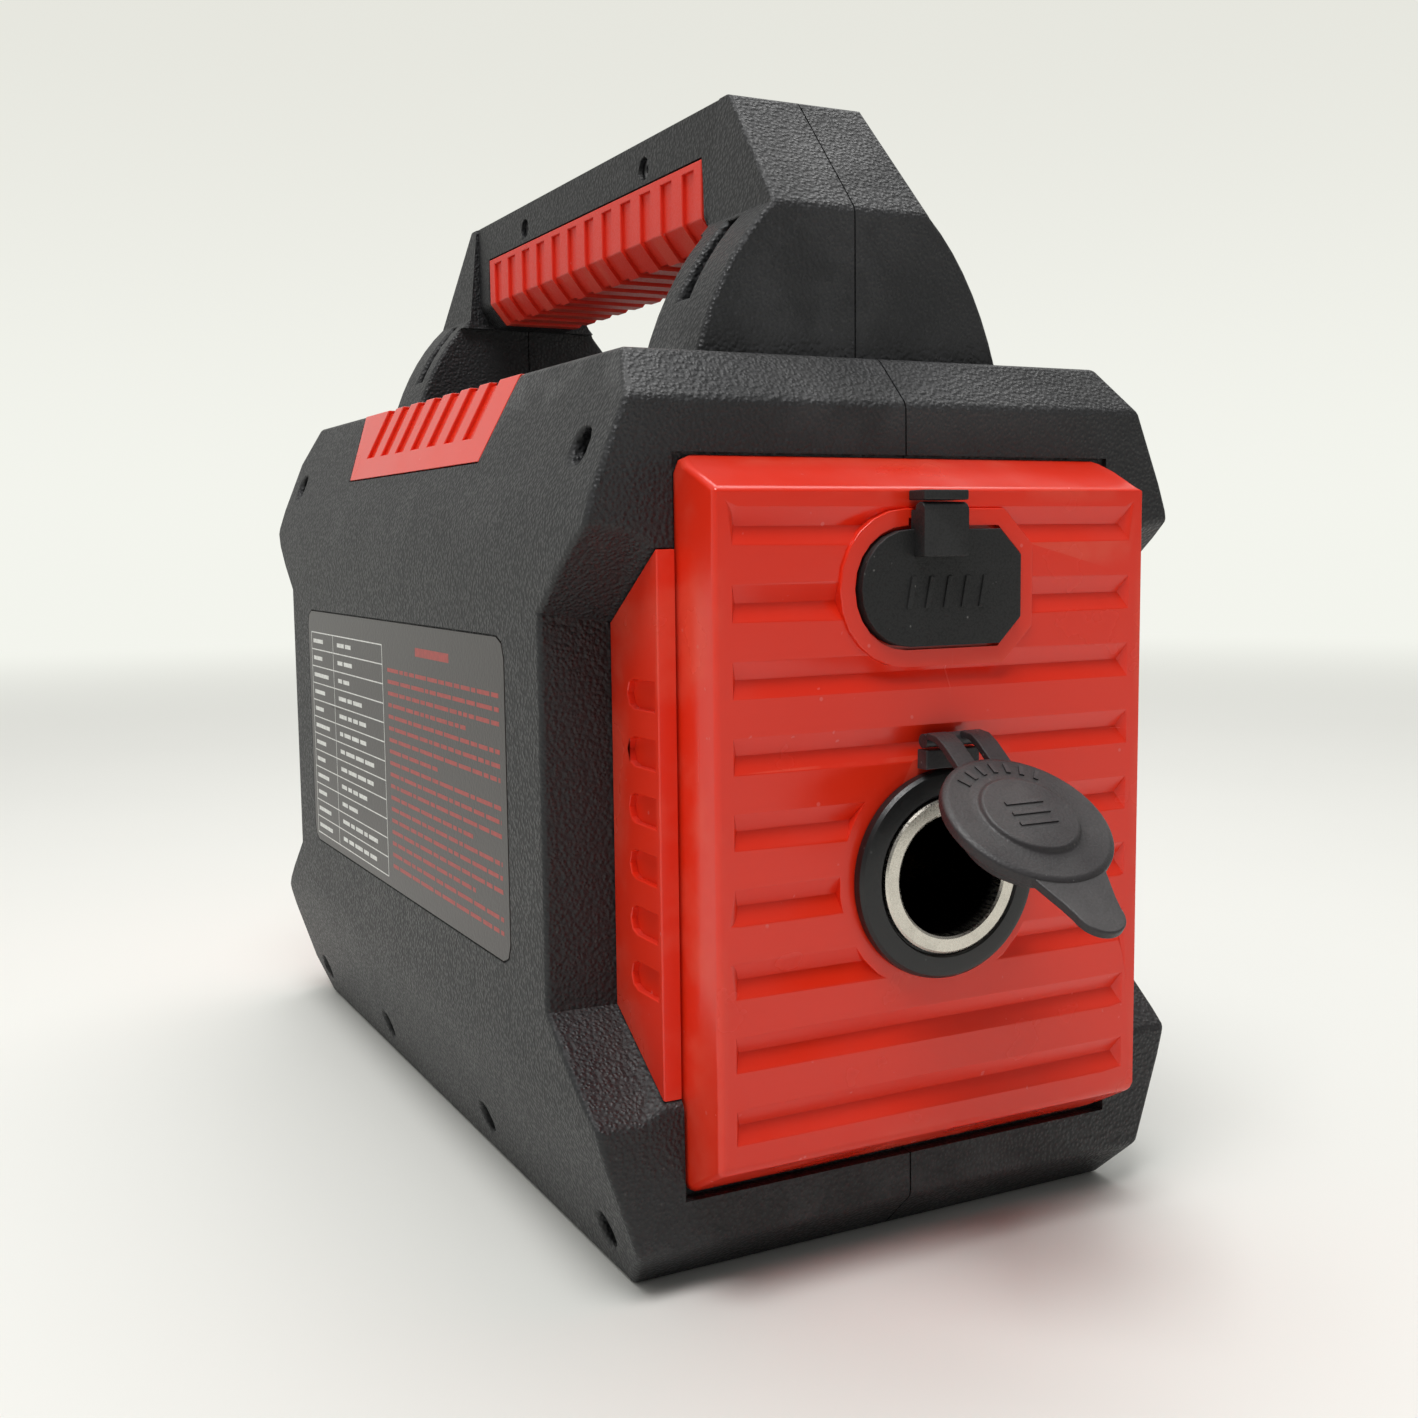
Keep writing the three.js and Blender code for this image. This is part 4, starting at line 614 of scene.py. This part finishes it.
def soft_profile(points, radius, steps=4):
    """Rounds the corners of an open (radius, y) profile; its two ends stay."""
    out = [points[0]]
    for before, corner, after in zip(points, points[1:], points[2:]):
        p, a, b = Vector(corner), Vector(before), Vector(after)
        reach = min(radius, (a - p).length / 2, (b - p).length / 2)
        start, end = p + (a - p).normalized() * reach, p + (b - p).normalized() * reach
        for k in range(steps + 1):
            t = k / steps
            out.append(tuple((1 - t) ** 2 * start + 2 * t * (1 - t) * p + t * t * end))
    out.append(points[-1])
    return out


def plate(outline, y_back, y_front):
    """A closed plate from an (x, z) outline in millimetres, between two y values."""
    mesh = bmesh.new()
    face = mesh.faces.new([mesh.verts.new((x * MM, y_back * MM, z * MM)) for x, z in outline])
    grown = bmesh.ops.extrude_face_region(mesh, geom=[face])
    moved = [v for v in grown["geom"] if isinstance(v, bmesh.types.BMVert)]
    bmesh.ops.translate(mesh, verts=moved, vec=(0, (y_front - y_back) * MM, 0))
    bmesh.ops.recalc_face_normals(mesh, faces=mesh.faces)
    return mesh


def block(low, high):
    """A closed block between two corners in millimetres."""
    mesh = bmesh.new()
    bmesh.ops.create_cube(mesh, size=1.0)
    size = [(b - a) * MM for a, b in zip(low, high)]
    middle = [(a + b) / 2 * MM for a, b in zip(low, high)]
    bmesh.ops.scale(mesh, vec=size, verts=mesh.verts)
    bmesh.ops.translate(mesh, vec=middle, verts=mesh.verts)
    return mesh


def merge_into(target, *others):
    """Copies other meshes into one, as separate closed shells of the same piece."""
    for other in others:
        data = bpy.data.meshes.new("joining")
        other.to_mesh(data)
        other.free()
        target.from_mesh(data)
        bpy.data.meshes.remove(data)
    return target


def arc(cx, cz, radius, start, end, steps):
    """Points of an arc in degrees."""
    turns = [math.radians(start + (end - start) * k / steps) for k in range(steps + 1)]
    return [(cx + radius * math.cos(t), cz + radius * math.sin(t)) for t in turns]


class PackOperator:
    """Shared settings of the operators that make the pieces."""

    bl_options = {"REGISTER", "UNDO"}

    def shape(self):
        return bpy.context.scene.pack_shape


# ---------------------------------------------------------------- case
class PACK_OT_case(PackOperator, bpy.types.Operator):
    """Rounds and finishes the two halves of the case"""

    bl_idname = "pack.case"
    bl_label = "Case"

    def execute(self, context):
        for side in ("left", "right"):
            shape = self.shape()
            rounded_copy(f"{side}_shell", f"case_{side}", "shell_plastic", shape.edge_round, narrow=shape.small_round)
        return {"FINISHED"}


class PACK_OT_accents(PackOperator, bpy.types.Operator):
    """Finishes the red inlays on the upper sides"""

    bl_idname = "pack.accents"
    bl_label = "Accents"

    def execute(self, context):
        for side in ("left", "right"):
            rounded_copy(f"{side}_accent", f"accent_{side}", "red_plastic", self.shape().small_round)
        return {"FINISHED"}


class PACK_OT_label(PackOperator, bpy.types.Operator):
    """Makes the label film with a plain ruled table and rows of plain bars"""

    bl_idname = "pack.label"
    bl_label = "Label"

    def execute(self, context):
        low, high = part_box("rating_label")
        film = copy_of("rating_label")
        new_piece("label", film, "label_film", BODY, ("rating_label",))
        face = low.x / MM + 0.02
        top, bottom, back, divide = 103.7, 52.0, 70.0, 5.0
        rows = 12
        pitch = (top - bottom) / rows
        split = back - (back - divide) / 3
        lift = 0.03

        def bar(y0, y1, z0, z1):
            return block((face - lift, min(y0, y1), min(z0, z1)), (face, max(y0, y1), max(z0, z1)))

        white = bmesh.new()
        rng = random.Random(4)
        for row in range(rows + 1):
            z = top - pitch * row
            merge_into(white, bar(divide, back, z - 0.14, z + 0.14))
        for y in (divide, split, back):
            merge_into(white, bar(y - 0.14, y + 0.14, bottom, top))
        for row in range(rows):
            z = top - pitch * (row + 0.5)
            length = rng.uniform(8, 16)
            merge_into(white, bar(back - 1.8, back - 1.8 - length, z - 0.5, z + 0.5))
            start = split - 4
            for _ in range(rng.randint(2, 5)):
                length = rng.uniform(2.5, 8)
                if start - length < divide + 2:
                    break
                merge_into(white, bar(start, start - length, z - 0.5, z + 0.5))
                start -= length + 1.2
        new_piece("label_table", white, "label_white")

        red = bmesh.new()
        line, count = 2.55, 18
        merge_into(red, bar(-20, -42, 102.6, 104.4))
        for row in range(count):
            z = 98.5 - line * row
            start = 1.0
            end = -70 if row % 4 != 3 else rng.uniform(-60, -30)
            while start > end:
                length = min(rng.uniform(2, 9), start - end)
                merge_into(red, bar(start, start - length, z - 0.42, z + 0.42))
                start -= length + 0.9
        new_piece("label_rows", red, "label_red")
        return {"FINISHED"}


# ---------------------------------------------------------------- handle
class PACK_OT_handle(PackOperator, bpy.types.Operator):
    """Finishes the two handle halves and the ribbed grip insert"""

    bl_idname = "pack.handle"
    bl_label = "Handle"

    def execute(self, context):
        for side in ("left", "right"):
            shape = self.shape()
            rounded_copy(
                f"handle_{side}", f"grab_handle_{side}", "shell_plastic", shape.edge_round, narrow=shape.small_round
            )
        rounded_copy("grip_pad", "grip_insert", "grip_red", self.shape().small_round)
        return {"FINISHED"}


# ---------------------------------------------------------------- ends
class PACK_OT_ends(PackOperator, bpy.types.Operator):
    """Finishes the red frames and the ribbed red panels at both ends"""

    bl_idname = "pack.ends"
    bl_label = "End panels"

    def execute(self, context):
        for end in ("front", "back"):
            rounded_copy(f"{end}_end_frame", f"frame_{end}", "red_plastic", self.shape().small_round)
            shape = self.shape()
            rounded_copy(
                f"{end}_panel", f"panel_{end}", "red_plastic", shape.panel_round,
                narrow=shape.small_round, wide_from=50,
            )
        return {"FINISHED"}


class PACK_OT_start_port(PackOperator, bpy.types.Operator):
    """Finishes the rubber start cover, its strap and the port behind it"""

    bl_idname = "pack.start_port"
    bl_label = "Start port"

    def execute(self, context):
        small = self.shape().small_round
        rounded_copy("start_cover", "start_lid", "soft_rubber", small, body="start_cover")
        low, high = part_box("start_cover")
        ridges = bmesh.new()
        face = -121.8
        for k in range(5):
            x = -8.2 + k * 3.6
            outline = [(x - 0.5, 114.2), (x + 0.5, 114.2), (x + 1.5, 119.4), (x + 0.5, 119.4)]
            merge_into(ridges, plate(outline, face + 0.1, face - self.shape().ridge_height / MM))
        round_edges(ridges, sharp_edges(ridges), 0.12 * MM, 2, clamp=True)
        new_piece("start_lid_ridges", ridges, "soft_rubber", "start_cover")
        rounded_copy("start_cover_strap", "start_strap", "soft_rubber", small)
        rounded_copy("start_socket_housing", "start_port_housing", "dark_plastic", small)
        for pole in ("negative", "positive"):
            rounded_copy(f"start_contact_{pole}", f"start_pole_{pole}", "brass", small / 2)
        return {"FINISHED"}


# ---------------------------------------------------------------- accessory socket
SOCKET = (0.0, 0.0, 69.2 * MM)
CAP_HINGE = Vector((0, -121.8, 92.2)) * MM
CAP_OPEN = math.radians(56)


class PACK_OT_socket(PackOperator, bpy.types.Operator):
    """Turns the metal socket, its black flange and the parts behind it"""

    bl_idname = "pack.socket"
    bl_label = "Accessory socket"

    def execute(self, context):
        steps = self.shape().turn_steps
        barrel = [
            (10.5, -78), (10.5, -122.6), (10.9, -122.9), (13.0, -122.9), (13.35, -122.6),
            (13.35, -121.95), (11.4, -121.9), (11.4, -78),
        ]
        new_piece("socket_barrel", spun(barrel, SOCKET, steps), "nickel_plate", BODY, ("lighter_barrel",), "socket_nickel")
        flange = [
            (11.75, -121.6), (13.75, -121.6), (13.75, -122.2), (14.1, -122.58), (16.4, -122.58), (17.3, -122.3),
            (17.8, -121.7), (17.95, -120.9), (17.95, -120.35), (13.8, -120.3), (13.8, -103), (11.75, -103),
        ]
        new_piece("socket_flange", spun(flange, SOCKET, steps), "dark_plastic", BODY, ("lighter_flange",))
        small = self.shape().small_round
        rounded_copy("lighter_nut", "socket_nut", "dark_plastic", small)
        rounded_copy("lighter_insulator", "socket_insulator", "dark_plastic", small)
        rounded_copy("lighter_centre_contact", "socket_contact", "brass", small)
        return {"FINISHED"}


class PACK_OT_socket_cap(PackOperator, bpy.types.Operator):
    """Models the rubber cap of the accessory socket with its pull tab and strap"""

    bl_idname = "pack.socket_cap"
    bl_label = "Socket cap"

    def execute(self, context):
        steps = self.shape().turn_steps
        z = SOCKET[2] / MM
        disc_profile = soft_profile(
            [
                (0, -126.2), (8.0, -126.2), (8.5, -125.45), (9.6, -125.35), (13.4, -125.35), (14.2, -124.9),
                (14.2, -123.25), (9.5, -123.2), (9.45, -118.8), (7.6, -118.8), (7.6, -123.0), (0, -123.0),
            ],
            0.35,
        )
        cap = spun(disc_profile, SOCKET, steps)
        tip = z - 24.5
        tab = plate(
            arc(0, tip + 4.3, 4.3, 180, 360, 18) + [(4.9, z - 18), (7.2, z - 11.5), (-7.2, z - 11.5), (-4.9, z - 18)],
            -123.3,
            -124.8,
        )
        round_edges(tab, sharp_edges(tab, math.radians(40)), 0.35 * MM, clamp=True)
        straps = []
        for side in (-1, 1):
            inner, outer = sorted((side * 1.5, side * 5.4))
            straps.append(self.strap_band(inner, outer, z))
        rod = bmesh.new()
        bmesh.ops.create_cone(
            rod, cap_ends=True, segments=24, radius1=1.2 * MM, radius2=1.2 * MM, depth=10.8 * MM,
            matrix=Matrix.Translation(CAP_HINGE) @ Matrix.Rotation(math.pi / 2, 4, "Y"),
        )
        ridges = []
        for k in range(7):
            turn = math.radians(90 + (k - 3) * 13)
            ridges.append(self.radial_ridge(turn, 10.2, 12.4, z))
        for k in range(3):
            ridges.append(block((-3.6, -126.45, z - 2.3 + k * 2.3 - 0.35), (3.6, -126.15, z - 2.3 + k * 2.3 + 0.35)))
        merge_into(cap, tab, *straps, rod, *ridges)
        turn = Matrix.Rotation(-CAP_OPEN, 4, "X")
        bmesh.ops.rotate(cap, cent=CAP_HINGE, matrix=turn.to_3x3(), verts=cap.verts)
        new_piece("cap", cap, "cap_rubber", "socket_cap", ("socket_cap",))
        rounded_copy("socket_cap_strap", "cap_root", "cap_rubber", self.shape().small_round)
        return {"FINISHED"}

    def strap_band(self, inner, outer, z):
        """One of the two strap bands, arched from the disc to the hinge line."""
        mesh = bmesh.new()
        path = [(z + 12.5, -123.4), (z + 15, -123.6), (z + 18, -123.8), (z + 20.5, -123.6), (92.2, -122.3)]
        rings = []
        for height, y in path:
            corners = ((inner, 0.0), (outer, 0.0), (outer, -1.3), (inner, -1.3))
            rings.append([mesh.verts.new((x * MM, (y + d) * MM, height * MM)) for x, d in corners])
        for a, b in zip(rings, rings[1:]):
            for k in range(4):
                mesh.faces.new((a[k], a[(k + 1) % 4], b[(k + 1) % 4], b[k]))
        mesh.faces.new(reversed(rings[0]))
        mesh.faces.new(rings[-1])
        bmesh.ops.recalc_face_normals(mesh, faces=mesh.faces)
        round_edges(mesh, sharp_edges(mesh, math.radians(60)), 0.25 * MM, 3, clamp=True)
        return mesh

    def radial_ridge(self, turn, near, far, z):
        mesh = block((near, -125.6, -0.4), (far, -125.3, 0.4))
        bmesh.ops.rotate(mesh, cent=(0, 0, 0), matrix=Matrix.Rotation(-turn, 3, "Y"), verts=mesh.verts)
        bmesh.ops.translate(mesh, vec=(0, 0, z * MM), verts=mesh.verts)
        return mesh


# ---------------------------------------------------------------- control end
class PACK_OT_controls(PackOperator, bpy.types.Operator):
    """Finishes the display, buttons, ports and lamp on the control end"""

    bl_idname = "pack.controls"
    bl_label = "Controls"

    def execute(self, context):
        small = self.shape().small_round
        rounded_copy("display_window", "display_pane", "display_glass", small)
        rounded_copy("display_module", "display_block", "circuit_board", small)
        for name in ("power_button", "light_button"):
            rounded_copy(name, f"{name}_key", "soft_rubber", small, body=name)
        for k in (1, 2):
            rounded_copy(f"usb_port_{k}", f"charging_port_{k}", "nickel_plate", small / 2)
        rounded_copy("dc_jack", "charge_jack", "dark_plastic", small)
        rounded_copy("dc_cover", "charge_lid", "soft_rubber", small, body="dc_cover")
        rounded_copy("dc_cover_strap", "charge_strap", "soft_rubber", small)
        rounded_copy("lamp_lens", "lamp_glass", "lens_clear", small)
        rounded_copy("lamp_reflector", "lamp_cup", "nickel_plate", small / 2)
        return {"FINISHED"}


class PACK_OT_inside(PackOperator, bpy.types.Operator):
    """Gives every remaining inner part its finish"""

    bl_idname = "pack.inside"
    bl_label = "Inside"

    def execute(self, context):
        slots = {s["node"]: s["material_slot"] for s in frame["record"]["subparts"]}
        for name, part in frame["nodes"].items():
            if part.hide_render:
                continue
            part.data.materials.clear()
            part.data.materials.append(material_for(slots[name]))
        return {"FINISHED"}


# ---------------------------------------------------------------- stage
CAMERA_PLACE = Vector((-155.9, -337.2, 125.5)) * MM
CAMERA_YAW, CAMERA_PITCH, CAMERA_ROLL = math.radians(27.21), math.radians(6.04), math.radians(-0.65)
CAMERA_LENS = 40.24
FLOOR_HALF = 12.0
HORIZON, SKY = (0.90, 0.91, 0.85), (0.79, 0.79, 0.73)
ROOM_FRONT, ROOM_BACK = (0.20, 0.20, 0.198), (0.72, 0.72, 0.69)


class PACK_OT_stage(PackOperator, bpy.types.Operator):
    """Sets the floor, the soft lamps, the world and the camera"""

    bl_idname = "pack.stage"
    bl_label = "Stage"

    def execute(self, context):
        scene = context.scene
        scene.view_settings.view_transform = "Standard"
        self.floor()
        self.world(scene)
        self.lamp("key", (-0.30, -0.40, 1.20), (0.6, 0.6), 10.0)
        self.lamp("top", (0.35, 0.35, 1.30), (0.9, 0.9), 6.0)
        camera = bpy.data.cameras.new("camera")
        camera.lens = CAMERA_LENS
        camera.sensor_width = 36.0
        camera.clip_start = 0.01
        view = bpy.data.objects.new("camera", camera)
        scene.collection.objects.link(view)
        turn = (
            Matrix.Rotation(-CAMERA_YAW, 4, "Z")
            @ Matrix.Rotation(math.pi / 2 - CAMERA_PITCH, 4, "X")
            @ Matrix.Rotation(CAMERA_ROLL, 4, "Z")
        )
        view.matrix_world = Matrix.Translation(CAMERA_PLACE) @ turn
        scene.camera = view
        return {"FINISHED"}

    def floor(self):
        """A pale floor that fades into the background with distance."""
        mesh = bmesh.new()
        bmesh.ops.create_grid(mesh, x_segments=1, y_segments=1, size=FLOOR_HALF)
        data = bpy.data.meshes.new("floor")
        mesh.to_mesh(data)
        mesh.free()
        floor = bpy.data.objects.new("floor", data)
        bpy.context.scene.collection.objects.link(floor)
        material, tree, shader = start_material("floor_paper")
        place = node(tree, "ShaderNodeTexCoord").outputs["Object"]
        mottle = blend_colour(tree, noise(tree, place, 6.0, detail=3.0), (0.79, 0.79, 0.755), (0.81, 0.81, 0.775))
        feed(tree, shader.inputs["Base Color"], mottle)
        shader.inputs["Roughness"].default_value = 0.7
        far = node(tree, "ShaderNodeVectorMath", operation="LENGTH")
        feed(tree, far.inputs[0], place)
        haze = node(tree, "ShaderNodeEmission")
        haze.inputs["Color"].default_value = (*HORIZON, 1)
        mix = node(tree, "ShaderNodeMixShader")
        feed(tree, mix.inputs[0], ramp(tree, far.outputs["Value"], 0.45, 1.8))
        tree.links.new(shader.outputs[0], mix.inputs[1])
        tree.links.new(haze.outputs[0], mix.inputs[2])
        tree.links.new(mix.outputs[0], tree.nodes["Material Output"].inputs["Surface"])
        data.materials.append(material)

    def world(self, scene):
        """A pale room that is darker on the side the camera looks from."""
        world = bpy.data.worlds.new("studio")
        world.use_nodes = True
        tree = world.node_tree
        axes = node(tree, "ShaderNodeSeparateXYZ")
        feed(tree, axes.inputs[0], node(tree, "ShaderNodeTexCoord").outputs["Generated"])
        room = blend_colour(tree, ramp(tree, axes.outputs["Y"], -0.6, 0.6), ROOM_FRONT, ROOM_BACK)
        seen = blend_colour(tree, ramp(tree, axes.outputs["Z"], 0.0, 0.34), HORIZON, SKY)
        camera_ray = node(tree, "ShaderNodeLightPath").outputs["Is Camera Ray"]
        feed(tree, tree.nodes["Background"].inputs["Color"], blend_colour(tree, camera_ray, room, seen))
        scene.world = world

    def lamp(self, name, place, size, power):
        light = bpy.data.lights.new(name, "AREA")
        light.shape = "RECTANGLE"
        light.size, light.size_y = size
        light.energy = power
        lamp = bpy.data.objects.new(name, light)
        bpy.context.scene.collection.objects.link(lamp)
        aim = Vector((0, 0, 0.1)) - Vector(place)
        lamp.matrix_world = Matrix.Translation(place) @ aim.to_track_quat("-Z", "Y").to_matrix().to_4x4()


class PACK_PT_panel(bpy.types.Panel):
    """Lists the pieces of the pack"""

    bl_label = "Jump starter pack"
    bl_idname = "PACK_PT_panel"
    bl_space_type = "VIEW_3D"
    bl_region_type = "UI"
    bl_category = "Pack"

    def draw(self, context):
        for settings in (context.scene.pack_shape, context.scene.pack_colours):
            for name in settings.__annotations__:
                self.layout.prop(settings, name)
        for operator in OPERATORS:
            self.layout.operator(operator.bl_idname)


OPERATORS = (
    PACK_OT_case,
    PACK_OT_accents,
    PACK_OT_label,
    PACK_OT_handle,
    PACK_OT_ends,
    PACK_OT_start_port,
    PACK_OT_socket,
    PACK_OT_socket_cap,
    PACK_OT_controls,
    PACK_OT_inside,
    PACK_OT_stage,
)
CLASSES = (PackShape, PackColours, *OPERATORS, PACK_PT_panel)


def register():
    for cls in CLASSES:
        bpy.utils.register_class(cls)
    bpy.types.Scene.pack_shape = PointerProperty(type=PackShape)
    bpy.types.Scene.pack_colours = PointerProperty(type=PackColours)


def unregister():
    del bpy.types.Scene.pack_colours
    del bpy.types.Scene.pack_shape
    for cls in reversed(CLASSES):
        bpy.utils.unregister_class(cls)


def main():
    register()
    for operator in OPERATORS:
        group, name = operator.bl_idname.split(".")
        getattr(getattr(bpy.ops, group), name)()


if __name__ == "__main__":
    main()
